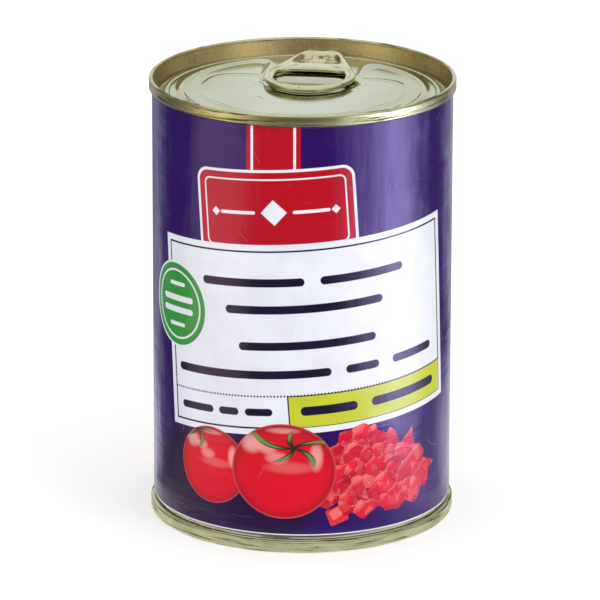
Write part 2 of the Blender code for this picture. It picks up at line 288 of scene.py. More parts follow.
def arc(centre_radius, centre_height, radius, start_degrees, end_degrees, steps):
    """Points (radius, height) along an arc. Degrees run from outwards towards up."""
    step = (end_degrees - start_degrees) / steps
    angles = [math.radians(start_degrees + step * i) for i in range(steps + 1)]
    return [(centre_radius + radius * math.cos(a), centre_height + radius * math.sin(a)) for a in angles]


def even(start, end, steps):
    """Points on a straight line, without its first one."""
    return [tuple(a + (b - a) * i / steps for a, b in zip(start, end)) for i in range(1, steps + 1)]


print("lathe tree has", len(LATHE.nodes), "nodes")

# %% [markdown]
# ## Tinplate
#
# Tinplate is thin steel with a film of tin, and a food tin's ends carry a clear lacquer that tints it a
# greenish gold. Both are metals in Blender: a Metallic of 1, and a Base Color that is the colour of the
# reflection. What makes them look used is small: rolling grain, rubbed seams, specks of dirt and fine
# scratches. Those are the same on every metal piece, so they are one shader group with its own inputs.


# %% Colour and pattern helpers
def mixed(tree, factor, first, second):
    """A colour between two, as a socket."""
    node = node_of(tree, "ShaderNodeMix", {"data_type": "RGBA"})
    feed(tree, node.inputs["Factor"], factor)
    feed(tree, node.inputs[6], first)
    feed(tree, node.inputs[7], second)
    return node.outputs[2]


def inked(tree, colour, mask, strength, ink):
    """A colour with an ink over it, as strong as given where the mask is 1."""
    return mixed(tree, calc(tree, "MULTIPLY", mask, strength), colour, ink)


def span(tree, value, low, high):
    """0 below low, 1 above high, and smooth between them. It falls where low is the larger one."""
    settings = {"interpolation_type": "SMOOTHSTEP"}
    return node_of(tree, "ShaderNodeMapRange", settings, Value=value, From_Min=low, From_Max=high).outputs[0]


def noise(tree, place, scale, detail, roughness=0.5):
    """Soft noise from 0 to 1, as a socket."""
    settings = {"Vector": place, "Scale": scale, "Detail": detail, "Roughness": roughness}
    return node_of(tree, "ShaderNodeTexNoise", **settings).outputs[0]


def sum_of_squares(tree, x, y):
    """x * x + y * y, as a socket."""
    return calc(tree, "ADD", calc(tree, "MULTIPLY", x, x), calc(tree, "MULTIPLY", y, y))


def tin_place(tree):
    """The place on the tin in metres, as a vector and as its x, y and z."""
    place = tree.nodes.new("ShaderNodeTexCoord").outputs["Object"]
    return (place, *node_of(tree, "ShaderNodeSeparateXYZ", Vector=place).outputs)


def bearing_of(tree, x, y):
    """The angle round the tin in radians: 0 at its front, positive towards its right."""
    return calc(tree, "ARCTAN2", x, calc(tree, "MULTIPLY", y, -1.0))


print("helpers for masks, noise and bearings are ready")

# %% [markdown]
# The wear itself is one group. Noise that is stretched one way gives rolling grain, coarser noise gives an
# uneven tone, and Voronoi cells whose own random value is small enough carry a speck of dirt.


# %% The wear on tinplate
def build_wear():
    """Shader group: tone, dirt, roughness and height of handled tinplate.

    Stretch is the grain's direction.
    """
    tree, start, end = new_group(
        "tinplate_wear",
        "ShaderNodeTree",
        [
            ("Grain", "Float", 0.5),
            ("Mottle", "Float", 0.3),
            ("Dirt", "Float", 0.3),
            ("Scratches", "Float", 0.3),
            ("Roughness", "Float", 0.25),
            ("Stretch", "Vector", None),
        ],
        [("Tone", "Float"), ("Dirt", "Float"), ("Roughness", "Float"), ("Height", "Float")],
    )
    given = start.outputs
    place = tree.nodes.new("ShaderNodeTexCoord").outputs["Object"]
    millimetres = node_of(tree, "ShaderNodeMapping", Vector=place, Scale=(1000.0,) * 3).outputs[0]
    along = node_of(tree, "ShaderNodeVectorMath", {"operation": "MULTIPLY"})
    feed(tree, along.inputs[0], millimetres)
    feed(tree, along.inputs[1], given["Stretch"])
    fine = noise(tree, along.outputs[0], 2.6, 3.0, 0.6)
    cloud = noise(tree, along.outputs[0], 0.28, 5.0, 0.6)
    blotch = noise(tree, millimetres, 0.55, 5.0, 0.65)
    grained = calc(tree, "MULTIPLY", calc(tree, "SUBTRACT", fine, 0.5), given["Grain"])
    mottled = calc(tree, "MULTIPLY", calc(tree, "SUBTRACT", cloud, 0.5), given["Mottle"])
    tone = calc(tree, "ADD", 0.5, calc(tree, "MULTIPLY_ADD", mottled, 3.0, grained), clamp=True)
    cells = node_of(tree, "ShaderNodeTexVoronoi", Vector=millimetres, Scale=0.62)
    near = calc(tree, "LESS_THAN", cells.outputs["Distance"], calc(tree, "MULTIPLY", blotch, 0.2))
    chance = node_of(tree, "ShaderNodeSeparateColor", Color=cells.outputs["Color"]).outputs["Red"]
    specks = calc(tree, "MULTIPLY", near, calc(tree, "LESS_THAN", chance, given["Dirt"]))
    smear = calc(tree, "MULTIPLY", span(tree, blotch, 0.58, 0.74), given["Dirt"])
    turned_grain = node_of(
        tree, "ShaderNodeMapping", Vector=millimetres, Scale=(0.12, 2.4, 0.5), Rotation=(0.3, 0.1, 0.6)
    )
    lines = noise(tree, turned_grain.outputs[0], 1.6, 4.0, 0.7)
    rubbed = calc(tree, "MULTIPLY", span(tree, lines, 0.64, 0.7), given["Scratches"])
    rough = calc(tree, "MULTIPLY_ADD", grained, 0.16, given["Roughness"])
    rough = calc(tree, "MULTIPLY_ADD", mottled, 0.3, rough)
    rough = calc(tree, "MULTIPLY_ADD", rubbed, 0.1, rough, clamp=True)
    height = calc(tree, "MULTIPLY_ADD", mottled, 4.0, grained)
    height = calc(tree, "MULTIPLY_ADD", rubbed, -0.5, height)
    feed(tree, end.inputs["Tone"], tone)
    feed(tree, end.inputs["Dirt"], calc(tree, "MAXIMUM", specks, smear, clamp=True))
    feed(tree, end.inputs["Roughness"], rough)
    feed(tree, end.inputs["Height"], height)
    return tree


WEAR = build_wear()


def tinplate(name, colour, shade, dirt_and_shade_colour, bump, marks=None, painted_side_shade=None, **wear):
    """A metal finish: colour is the clean plate, shade its darker tone. Marks adds further dark marks, if
    given: dirt, and on the lid also a painted shadow.

    A side colour, if given, is painted shade: the plate is painted darker towards its left and right.
    """
    material = bpy.data.materials.new(name)
    material.use_nodes = True
    tree = material.node_tree
    shader = tree.nodes["Principled BSDF"]
    shader.inputs["Metallic"].default_value = 1.0
    group = use_group(tree, WEAR, **wear)
    plate = mixed(tree, group.outputs["Tone"], shade, colour)
    # Painted shade: the plate darkens towards its left and right, by its x.
    if painted_side_shade:
        place, x, _, _ = tin_place(tree)
        reach = calc(tree, "MULTIPLY_ADD", noise(tree, place, 45.0, 2.0), 0.03, calc(tree, "ABSOLUTE", x))
        plate = inked(tree, plate, span(tree, reach, 0.022, 0.044), 0.85, painted_side_shade)
    dirt = group.outputs["Dirt"]
    # On the lid the marks hold a painted shadow, so from here this mask is dirt and painted shade.
    if marks:
        dirt = calc(tree, "MAXIMUM", dirt, use_group(tree, marks).outputs["Mask"])
    feed(tree, shader.inputs["Base Color"], mixed(tree, dirt, plate, dirt_and_shade_colour))
    feed(tree, shader.inputs["Roughness"], calc(tree, "MULTIPLY_ADD", dirt, 0.3, group.outputs["Roughness"]))
    height = group.outputs["Height"]
    relief = node_of(tree, "ShaderNodeBump", Strength=bump, Distance=0.05 * MM, Height=height)
    feed(tree, shader.inputs["Normal"], relief.outputs[0])
    return material


print("wear group has", len(WEAR.nodes), "nodes")

# %% [markdown]
# A lid that has been stacked and slid carries short dark scuffs. They lie on the beads, which touch first.
# The first two arcs in the list are no scuffs but a painted shadow: a dark line just in front of the ring,
# where the ring shades the panel. Each arc is a stretch of a circle about the tin's axis: a mask of distance
# from a radius and of bearing.

# %% The scuffs, a painted shadow and the metal finishes
SCUFF_AND_SHADOW_ARCS = (
    # The first two arcs are a painted shadow just in front of the ring; the rest are scuffs.
    (7.2, -50.0, -6.0, 0.34),
    (6.7, -4.0, 40.0, 0.24),
    (12.7, -62.0, -47.0, 0.16),
    (30.4, -71.5, -64.0, 0.26),
    (31.2, 62.0, 70.5, 0.24),
    (25.6, -20.5, -14.5, 0.22),
    (27.6, 8.5, 14.0, 0.2),
    (27.8, 49.0, 62.0, 0.22),
)


def build_scuffs_and_ring_shadow():
    """Shader group: a mask of dark arcs, scuffs and a painted shadow by the ring, each a radius in mm, two
    bearings in degrees and a width.
    """
    tree, _, end = new_group("lid_scuffs_and_ring_shadow", "ShaderNodeTree", [], [("Mask", "Float")])
    place, x, y, _ = tin_place(tree)
    bearing = bearing_of(tree, x, y)
    radius = calc(tree, "MULTIPLY", calc(tree, "SQRT", sum_of_squares(tree, x, y)), 1000.0)
    ragged = noise(tree, place, 900.0, 3.0)
    total = 0.0
    for at, first, last, width in SCUFF_AND_SHADOW_ARCS:
        off = calc(tree, "ABSOLUTE", calc(tree, "SUBTRACT", radius, at))
        across = span(tree, off, width, width * 0.3)
        middle, half = math.radians((first + last) / 2), math.radians((last - first) / 2)
        gone = calc(tree, "ABSOLUTE", calc(tree, "SUBTRACT", bearing, middle))
        along = span(tree, gone, half, half * 0.6)
        total = calc(tree, "MAXIMUM", total, calc(tree, "MULTIPLY", across, along))
    broken = calc(tree, "MULTIPLY", total, span(tree, ragged, 0.3, 0.5))
    feed(tree, end.inputs["Mask"], broken)
    return tree


def build_streaks():
    """Shader group: a mask of long dark streaks that run round the tin."""
    tree, _, end = new_group("seam_streaks", "ShaderNodeTree", [], [("Mask", "Float")])
    _, x, y, z = tin_place(tree)
    around = calc(tree, "MULTIPLY", bearing_of(tree, x, y), 3.2)
    up = calc(tree, "MULTIPLY", z, 1900.0)
    unrolled = node_of(tree, "ShaderNodeCombineXYZ", X=around, Y=up)
    long = noise(tree, unrolled.outputs[0], 1.0, 3.0, 0.55)
    feed(tree, end.inputs["Mask"], calc(tree, "MULTIPLY", span(tree, long, 0.52, 0.64), 0.8))
    return tree


STREAKS = build_streaks()
LACQUERED = tinplate(
    "lacquered_lid_tinplate",
    srgb(203, 208, 194),
    srgb(190, 193, 172),
    srgb(62, 58, 44),
    0.1,
    # Scuffs, and a painted shadow in front of the ring.
    marks=build_scuffs_and_ring_shadow(),
    # Painted shade towards the lid's left and right.
    painted_side_shade=srgb(176, 180, 150),
    Grain=0.25,
    Mottle=0.1,
    Dirt=0.05,
    Scratches=0.5,
    Roughness=0.12,
    Stretch=(1.0, 1.0, 1.0),
)
WALL_PLATE = tinplate(
    "brushed_chuck_wall_tinplate",
    srgb(222, 218, 190),
    srgb(192, 181, 142),
    srgb(84, 72, 44),
    0.45,
    Grain=1.2,
    Mottle=0.5,
    Dirt=0.16,
    Scratches=0.3,
    Roughness=0.27,
    Stretch=(1.0, 1.0, 0.12),
)
SEAM_PLATE = tinplate(
    "rubbed_seam_tinplate",
    srgb(224, 228, 197),
    srgb(184, 182, 142),
    srgb(74, 68, 44),
    0.8,
    marks=STREAKS,
    Grain=0.7,
    Mottle=0.6,
    Dirt=0.3,
    Scratches=0.6,
    Roughness=0.34,
    Stretch=(0.45, 0.45, 1.0),
)
BODY_PLATE = tinplate(
    "bright_body_tinplate",
    srgb(222, 222, 206),
    srgb(190, 188, 166),
    srgb(66, 60, 50),
    0.2,
    marks=STREAKS,
    Grain=0.3,
    Mottle=0.2,
    Dirt=0.08,
    Scratches=0.2,
    Roughness=0.1,
    Stretch=(1.0, 1.0, 1.0),
)
TAB_PLATE = tinplate(
    "lacquered_tab_tinplate",
    srgb(216, 219, 190),
    srgb(194, 192, 154),
    srgb(36, 32, 22),
    0.3,
    Grain=0.4,
    Mottle=0.4,
    Dirt=0.5,
    Scratches=0.6,
    Roughness=0.15,
    Stretch=(1.0, 1.0, 1.0),
)
# Painted reflection: a browner, darker plate for the floor of the tab's recess stands in for the brown that
# its walls mirror into it.
RECESS_PAINTED_REFLECTION = tinplate(
    "tab_recess_painted_reflection",
    srgb(190, 178, 130),
    srgb(158, 144, 98),
    srgb(52, 44, 26),
    0.4,
    Grain=0.8,
    Mottle=0.6,
    Dirt=0.35,
    Scratches=0.4,
    Roughness=0.2,
    Stretch=(1.0, 1.0, 1.0),
)
finishes = (LACQUERED, WALL_PLATE, SEAM_PLATE, BODY_PLATE, TAB_PLATE, RECESS_PAINTED_REFLECTION)
print("tinplate finishes:", [finish.name for finish in finishes])

# %% [markdown]
# ## The lid
#
# A ring-pull lid is one pressed disc. From outside in it has the rolled double seam, the chuck wall that the
# seaming tool pressed against, a narrow groove, a score line that tears, and a panel with raised beads that
# let it flex. Under the ring the panel dips into a finger well. The beads stay open round the tab's nose.
#
# The lathe gives the round part. The open beads and the well aren't round, so the panel's points are then
# lifted by a height function: each bead is a smooth ridge along the line where a distance is zero.

# %% The tab's own frame and the height of the panel
TAB_TURN = math.radians(8.0)
TAB_SIDE_SHIFT = 0.6
RING_CENTRE, RING_HALF_WIDTH, RING_HALF_LENGTH = 8.5, 11.5, 13.8
NOSE_CENTRE, NOSE_RADIUS = 27.7, 6.0
PANEL_HEIGHT = 108.25
SCORE_RADIUS, SCORE_DEPTH = 33.2, 0.12
OUTER_BEAD = {"radius": 30.2, "height": 0.5, "half_width": 1.5}
INNER_BEAD = {"radius": 24.7, "height": 0.22, "half_width": 1.4}
NOTCH_HALF_WIDTH, NOTCH_START = 11.8, 13.4
INNER_BEAD_BACK = 12.0
BEAD_CORNER_ROUND = 5.0
WELL_HALF_WIDTH, WELL_HALF_LENGTH = 12.9, 9.6
WELL_DEPTH, WELL_SLOPE, WELL_BACK = 0.7, 1.1, 10.6
TAB_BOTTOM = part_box("pull_tab")[0].z / MM
TAB_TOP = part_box("pull_tab")[1].z / MM


def to_tab(x, y):
    """(across, along) in the tab's frame, for arrays of lid points."""
    across = x * math.cos(TAB_TURN) - y * math.sin(TAB_TURN) - TAB_SIDE_SHIFT
    return across, x * math.sin(TAB_TURN) + y * math.cos(TAB_TURN)


def from_tab(across, along):
    """The lid's (x, y) of a point in the tab's frame."""
    shifted = across + TAB_SIDE_SHIFT
    x = shifted * math.cos(TAB_TURN) + along * math.sin(TAB_TURN)
    return x, -shifted * math.sin(TAB_TURN) + along * math.cos(TAB_TURN)


def soft_max(a, b, rounding):
    """The larger of two distances, with the corner between them rounded."""
    blend = np.maximum(rounding - np.abs(a - b), 0.0) / rounding
    return np.maximum(a, b) + blend * blend * rounding / 4


def ridge(distance, half_width):
    """1 on the line of a bead, falling smoothly to 0 at its half width."""
    return np.where(np.abs(distance) < half_width, 0.5 + 0.5 * np.cos(np.pi * distance / half_width), 0.0)


def ramp(distance, width):
    """0 outside an edge, rising smoothly to 1 a full width inside it. Inside, distances are negative."""
    t = np.clip(-distance / width, 0.0, 1.0)
    return t * t * (3 - 2 * t)


def tab_distance(across, along):
    """Signed distance to the tab's outline: an oval ring, a round nose and straight sides between them."""
    side = np.abs(across)
    taper = math.asin((RING_HALF_WIDTH - NOSE_RADIUS) / (NOSE_CENTRE - RING_CENTRE))
    oval = np.hypot(across / RING_HALF_WIDTH, (along - RING_CENTRE) / RING_HALF_LENGTH)
    front = (oval - 1.0) * RING_HALF_WIDTH
    ring = np.hypot(side, along - RING_CENTRE) - RING_HALF_WIDTH
    straight = side * math.cos(taper) + (along - RING_CENTRE) * math.sin(taper) - RING_HALF_WIDTH
    nose = np.hypot(side, along - NOSE_CENTRE) - NOSE_RADIUS
    past_ring = along > RING_CENTRE + RING_HALF_WIDTH * math.sin(taper)
    past_side = along > NOSE_CENTRE + NOSE_RADIUS * math.sin(taper)
    back_part = np.where(past_side, nose, np.where(past_ring, straight, ring))
    return np.where(along < RING_CENTRE, front, back_part)


def panel_relief(x, y):
    """Height of the pressed panel above its plain level, in millimetres."""
    across, along = to_tab(x, y)
    radius = np.hypot(x, y)
    notch = np.maximum(np.abs(across) - NOTCH_HALF_WIDTH, NOTCH_START - along)
    outer = soft_max(radius - OUTER_BEAD["radius"], -notch, BEAD_CORNER_ROUND)
    inner = soft_max(radius - INNER_BEAD["radius"], along - INNER_BEAD_BACK, BEAD_CORNER_ROUND)
    forward = np.minimum(along - RING_CENTRE, 0.0)
    round_edge = (np.hypot(across / WELL_HALF_WIDTH, forward / WELL_HALF_LENGTH) - 1.0) * WELL_HALF_LENGTH
    well = soft_max(round_edge, along - WELL_BACK, 2.0)
    sunk = ramp(well, WELL_SLOPE)
    height = OUTER_BEAD["height"] * ridge(outer, OUTER_BEAD["half_width"])
    height += INNER_BEAD["height"] * ridge(inner, INNER_BEAD["half_width"])
    under_tab = ramp(tab_distance(across, along) - 2.0, 2.0)
    room = TAB_BOTTOM - 0.3 - PANEL_HEIGHT
    height += (np.minimum(height, room) - height) * under_tab
    lip = 0.18 * ridge(well - 0.7, 1.0) * (1.0 - under_tab)
    return (height + lip) * (1.0 - sunk) - WELL_DEPTH * sunk


print("panel beads at", OUTER_BEAD["radius"], "and", INNER_BEAD["radius"], "mm")

# %% [markdown]
# The double seam is five layers of sheet rolled flat, so from outside it is a band with a soft shoulder, a
# slightly hollow face and a tucked lower edge. Its crest is round. The profile runs from the middle of the
# panel outwards, over the crest and down to the label, and ends under the lid where nothing shows.


# %% The lid's profile
SEAM_HEIGHT = 2.88
CREST_RADIUS = 0.58
TUCK_RADIUS = 0.42
SEAM_HOLLOW = 0.1
WALL_FOOT, WALL_HEAD = (36.3, 108.4), (37.0, 111.3)


def top_seam():
    """Outer side of the double seam from its crest down to the tucked lower edge."""
    bottom = TIN_TOP - SEAM_HEIGHT
    shoulder = TIN_TOP - CREST_RADIUS
    points = arc(WALL_HEAD[0] + CREST_RADIUS, shoulder, CREST_RADIUS, 180, 90, 8)
    points += arc(SEAM_RADIUS - CREST_RADIUS - 0.02, shoulder, CREST_RADIUS, 90, 8, 8)
    first, last = shoulder - 0.05, bottom + TUCK_RADIUS + 0.03
    for step in range(7):
        share = step / 6
        hollow = SEAM_HOLLOW * math.sin(math.pi * share) ** 2
        points.append((SEAM_RADIUS - hollow, first + (last - first) * share))
    return points + arc(SEAM_RADIUS - TUCK_RADIUS, bottom + TUCK_RADIUS, TUCK_RADIUS, 0, -90, 6)


def lid_profile():
    """(radius, height) points of the whole lid."""
    panel = [(SCORE_RADIUS * i / 84, PANEL_HEIGHT) for i in range(84)]
    panel = [point for point in panel if point[0] < SCORE_RADIUS - 0.3]
    cut = PANEL_HEIGHT - SCORE_DEPTH
    score = [(SCORE_RADIUS - 0.08, cut), (SCORE_RADIUS + 0.08, cut)]
    score = [(SCORE_RADIUS - 0.2, PANEL_HEIGHT), *score, (SCORE_RADIUS + 0.2, PANEL_HEIGHT)]
    edge = arc(33.95, PANEL_HEIGHT - 0.4, 0.45, 80, 10, 6)
    groove = arc(35.3, 107.75, 0.85, 190, 350, 12)
    wall = even((36.12, 107.9), WALL_FOOT, 2) + even(WALL_FOOT, WALL_HEAD, 8)
    under = [(37.5, 109.12), (BODY_RADIUS, 109.1), (BODY_RADIUS, 106.0), (0.0, 106.0)]
    return panel + score + edge + groove + wall + top_seam() + under


print("lid profile has", len(lid_profile()), "points")

# %% [markdown]
# Turning the profile gives a plain lid. Its panel points are then moved to the height function, and the
# faces of the chuck wall and of the seam take their own finishes.

# %% The lid piece
LID_STEPS = 360
lid = turned_piece("ring_pull_lid", lid_profile(), LID_STEPS, LACQUERED)
points = np.empty(len(lid.data.vertices) * 3)
lid.data.vertices.foreach_get("co", points)
points = points.reshape(-1, 3) / MM
on_panel = (np.hypot(points[:, 0], points[:, 1]) < 32.8) & (points[:, 2] > 107.0)
points[on_panel, 2] = PANEL_HEIGHT + panel_relief(points[on_panel, 0], points[on_panel, 1])
lid.data.vertices.foreach_set("co", (points * MM).ravel())
lid.data.update()
tidy_mesh(lid, 50.0)
dress(lid, LACQUERED, WALL_PLATE, SEAM_PLATE)
for face in lid.data.polygons:
    reach, height = math.hypot(face.center.x, face.center.y) / MM, face.center.z / MM
    if height > 109.0 and reach > 36.97:
        face.material_index = 2
    elif height > 106.9 and reach > 35.9:
        face.material_index = 1
print("lid:", len(lid.data.polygons), "faces, lowest panel point", round(points[on_panel, 2].min(), 2), "mm")

# %% [markdown]
# ## The tab
#
# The tab is a strip of tinplate whose edges are curled under, so it looks like a flattened tube bent into a
# ring, with a nose at one end. It is made here as loops of points round the finger hole: the first loop is
# the outline, the last is the hole, and those between fill the web. Each loop gets its height from the
# distance to the nearest edge, which rounds the curls, and from the recess that holds the rivet.

# %% The tab's outline and holes
HOLE_CENTRE, HOLE_HALF_WIDTH = 7.0, 8.8
HOLE_FRONT_LENGTH, HOLE_BACK_LENGTH, HOLE_BACK_SQUARENESS = 9.0, 7.3, 3.6
WINDOW_FRONT, WINDOW_BACK = 19.5, 28.9
WINDOW_FRONT_HALF_WIDTH, WINDOW_BACK_HALF_WIDTH = 6.9, 4.6
WINDOW_CORNER = 2.2
TAB_STEPS = 240


def outline_reach(direction):
    """How far the outline lies from the middle of the hole, found by halving."""
    inside, outside = 0.0, NOSE_CENTRE + NOSE_RADIUS
    for _ in range(30):
        middle = (inside + outside) / 2
        if tab_distance(direction[0] * middle, HOLE_CENTRE + direction[1] * middle) < 0.0:
            inside = middle
        else:
            outside = middle
    return inside


def hole_reach(direction):
    """How far the hole's edge lies from its middle: an oval front and a squarer back."""
    across, along = direction
    if along <= 0.0:
        return 1.0 / math.hypot(across / HOLE_HALF_WIDTH, along / HOLE_FRONT_LENGTH)
    total = abs(across / HOLE_HALF_WIDTH) ** HOLE_BACK_SQUARENESS
    total += abs(along / HOLE_BACK_LENGTH) ** HOLE_BACK_SQUARENESS
    return total ** (-1.0 / HOLE_BACK_SQUARENESS)


def window_distance(across, along):
    """Signed distance to the tapered recess behind the cross-bar."""
    taper = (WINDOW_FRONT_HALF_WIDTH - WINDOW_BACK_HALF_WIDTH) / (WINDOW_BACK - WINDOW_FRONT)
    half = WINDOW_FRONT_HALF_WIDTH - (along - WINDOW_FRONT) * taper
    ends = np.maximum(WINDOW_FRONT - along, along - WINDOW_BACK)
    return soft_max(np.abs(across) - half, ends, WINDOW_CORNER)


print("finger hole is", 2 * HOLE_HALF_WIDTH, "mm wide and", HOLE_FRONT_LENGTH + HOLE_BACK_LENGTH, "mm long")

# %% [markdown]
# Outline and hole are sampled at the same angles, seen from the middle of the hole, so their points pair
# up. Each point also gets a unit vector that leads into the sheet: a curl is a half circle along it.

# %% The two outlines
angles = [math.tau * i / TAB_STEPS for i in range(TAB_STEPS)]
directions = [(math.cos(a), math.sin(a)) for a in angles]
outline = np.array([(d[0] * outline_reach(d), HOLE_CENTRE + d[1] * outline_reach(d)) for d in directions])
hole = np.array([(d[0] * hole_reach(d), HOLE_CENTRE + d[1] * hole_reach(d)) for d in directions])


def inward(loop, sign):
    """Unit vectors square to a loop, towards the tab's own material."""
    run = np.roll(loop, -1, axis=0) - np.roll(loop, 1, axis=0)
    run /= np.linalg.norm(run, axis=1)[:, None]
    return sign * np.column_stack([-run[:, 1], run[:, 0]])


outline_in, hole_in = inward(outline, 1.0), inward(hole, -1.0)
print("tab outline from", outline[:, 1].min().round(1), "to", outline[:, 1].max().round(1), "mm")

# %% [markdown]
# Between its curls the sheet dips a little. Behind the cross-bar it is pressed into a recess, deeper towards
# the back, with a small slot on each side of the rivet. The front of the ring hangs a little lower below,
# which hides what lies under it.


# %% Heights of the tab
WINDOW_FRONT_DEPTH, WINDOW_FALL = 0.35, 0.12
SLOT_ACROSS, SLOT_ALONG = 3.5, 24.9
SLOT_HALF_LENGTH, SLOT_HALF_WIDTH, SLOT_DEPTH = 1.4, 0.35, 0.5
CURL = (TAB_TOP - TAB_BOTTOM) / 2
RING_SAG = 0.3
DENT_DEPTH = 0.28


def web_height(across, along):
    """Height of the tab's top between its curls, with the recess and the two slots beside the rivet."""
    sunk = ramp(window_distance(across, along), 0.7)
    depth = WINDOW_FRONT_DEPTH + WINDOW_FALL * (along - WINDOW_FRONT)
    slot_x = (np.abs(across) - SLOT_ACROSS) / SLOT_HALF_LENGTH
    slot = np.hypot(slot_x, (along - SLOT_ALONG) / SLOT_HALF_WIDTH)
    depth = depth + SLOT_DEPTH * np.clip(1.5 - slot, 0.0, 1.0)
    return TAB_TOP - depth * sunk


def curl_height(loop, angle):
    """Heights round a curl. Its underside hangs lower at the front of the ring."""
    front = np.clip((3.0 - loop[:, 1]) / 5.0, 0.0, 1.0)
    reach = CURL if angle > 0.0 else CURL + RING_SAG * front * front * (3 - 2 * front)
    return TAB_BOTTOM + CURL + reach * math.sin(angle) + np.zeros(len(loop))


def nose_dent(loop):
    """Depth of the shallow dent at the tip of the nose."""
    across = np.exp(-(((loop[:, 0] + 0.4) / 1.3) ** 2))
    return DENT_DEPTH * across * np.clip((loop[:, 1] - 31.0) / 2.0, 0.0, 1.0)


print("curls are", round(2 * CURL, 2), "mm high")

# %% [markdown]
# The loops start under the outer curl, go over it, across the web and round the inner curl to its
# underside. Each is joined to the next by quads, and the last to the first, so the surface is closed.

# %% The tab piece
CURL_WIDTH = 1.15
CURL_STEPS, WEB_LOOPS = 9, 60
WEB_DIP = 0.24
loops, heights = [], []
for step in range(2 * CURL_STEPS + 1):
    angle = math.radians(-90 + 180 * step / (2 * CURL_STEPS))
    loops.append(outline + outline_in * CURL_WIDTH * (1 - math.cos(angle)))
    heights.append(curl_height(loops[-1], angle))
for step in range(1, WEB_LOOPS):
    share = step / WEB_LOOPS
    loop = (outline + outline_in * CURL_WIDTH) * (1 - share) + (hole + hole_in * CURL_WIDTH) * share
    loops.append(loop)
    dip = WEB_DIP * math.sin(math.pi * share) ** 2
    heights.append(web_height(loop[:, 0], loop[:, 1]) - dip)
for step in range(2 * CURL_STEPS + 1):
    angle = math.radians(90 - 180 * step / (2 * CURL_STEPS))
    loops.append(hole + hole_in * CURL_WIDTH * (1 - math.cos(angle)))
    heights.append(curl_height(loops[-1], angle))

tab_points, tab_faces = [], []
for loop, height in zip(loops, heights):
    x, y = from_tab(loop[:, 0], loop[:, 1])
    tab_points += list(zip(x, y, height - nose_dent(loop) * (height > TAB_BOTTOM + CURL)))
for i in range(len(loops)):
    first, second = i * TAB_STEPS, (i + 1) % len(loops) * TAB_STEPS
    for j in range(TAB_STEPS):
        k = (j + 1) % TAB_STEPS
        tab_faces.append((first + j, first + k, second + k, second + j))
tab = new_piece("pull_tab_curled", tab_points, tab_faces)
dress(tidy_mesh(tab, 60.0), TAB_PLATE, RECESS_PAINTED_REFLECTION)
# Faces deep in the recess get the painted reflection finish.
centres = np.array([tuple(face.center) for face in tab.data.polygons]) / MM
recessed = window_distance(*to_tab(centres[:, 0], centres[:, 1])) < -0.45
for face, inside in zip(tab.data.polygons, recessed):
    face.material_index = 1 if inside and face.center.z / MM > TAB_BOTTOM + CURL * 0.5 else 0
print("tab:", len(tab_faces), "faces,", round(TAB_TOP - TAB_BOTTOM, 2), "mm thick")

# %% [markdown]
# The rivet is drawn up out of the panel itself and struck flat over the tab, which leaves a round button
# with a shallow dish in its top.

# %% The rivet
RIVET_ALONG, RIVET_RADIUS, RIVET_TOP, RIVET_ROUND = 22.2, 2.4, 109.8, 0.25
rivet_rim = arc(RIVET_RADIUS - RIVET_ROUND, RIVET_TOP - RIVET_ROUND, RIVET_ROUND, 90, -60, 7)
rivet_profile = [(0.0, 109.62), (0.9, 109.64), (1.5, 109.72), (1.9, 109.79), *rivet_rim]
rivet_profile += [(1.9, 109.3), (1.3, 109.2), (1.3, 108.0), (0.0, 108.0)]
rivet = turned_piece("lid_rivet", rivet_profile, 64, WALL_PLATE)
rivet_x, rivet_y = from_tab(0.0, RIVET_ALONG)
rivet.data.transform(Matrix.Translation((rivet_x * MM, rivet_y * MM, 0.0)))
print("rivet at", round(rivet_x, 2), round(rivet_y, 2), "mm")

# %% [markdown]
# ## The body and the bottom end
#
# Only a narrow strip of the body shows, between the label's lower edge and the bottom seam, but it is the
# brightest metal on the tin, so it is modelled with the small flare that leads into the seam. The bottom end
# is recessed like the lid, with two ring beads, and stands on the crest of its seam.


# %% Body and bottom end
BASE_PANEL = 3.5


def body_profile():
    """A closed profile: the wall with its flare, and a plain top under the lid."""
    top = [(0.0, BODY_TOP), (BODY_RADIUS - 0.2, BODY_TOP), (BODY_RADIUS, BODY_TOP - 0.2)]
    wall = [(BODY_RADIUS, height) for height in (60.0, 6.0, 4.9)]
    flare = [(0.04, 4.4), (0.1, 4.0), (0.13, 3.6), (0.13, 3.34)]
    flare = [(BODY_RADIUS + out, height) for out, height in flare]
    return top + wall + flare + [(36.3, 3.3), (36.3, 5.8), (0.0, 5.8)]


def ring_bead(radius, half_width, depth, level):
    """A bead in section, on a panel at that level."""
    steps = [-1 + i / 6 for i in range(13)]
    return [(radius + s * half_width, level + depth * (0.5 + 0.5 * math.cos(math.pi * s))) for s in steps]


def base_profile():
    """The bottom end from the middle of its underside outwards and up to its plug."""
    panel = [(0.0, BASE_PANEL), (10.0, BASE_PANEL)]
    panel += ring_bead(22.0, 1.6, 0.6, BASE_PANEL) + ring_bead(29.5, 1.6, 0.6, BASE_PANEL)
    groove = arc(34.7, 3.75, 0.5, 180, 0, 8)
    wall = even((35.35, 3.4), (37.0, 0.6), 6)
    crest = arc(37.35, 0.35, 0.35, 180, 270, 6) + arc(37.55, 0.5, 0.5, 270, 350, 7)
    side = [(SEAM_RADIUS - 0.06 * math.sin(math.pi * i / 6) ** 2, 0.6 + 1.9 * i / 6) for i in range(7)]
    shoulder = arc(SEAM_RADIUS - 0.5, 2.5, 0.5, 5, 78, 7)
    foot = [(37.5, 3.04), (37.36, 3.12), (37.28, 3.24), (35.9, 3.24), (35.9, 5.5), (0.0, 5.5)]
    return panel + [(34.0, BASE_PANEL)] + groove + wall + crest + side + shoulder + foot


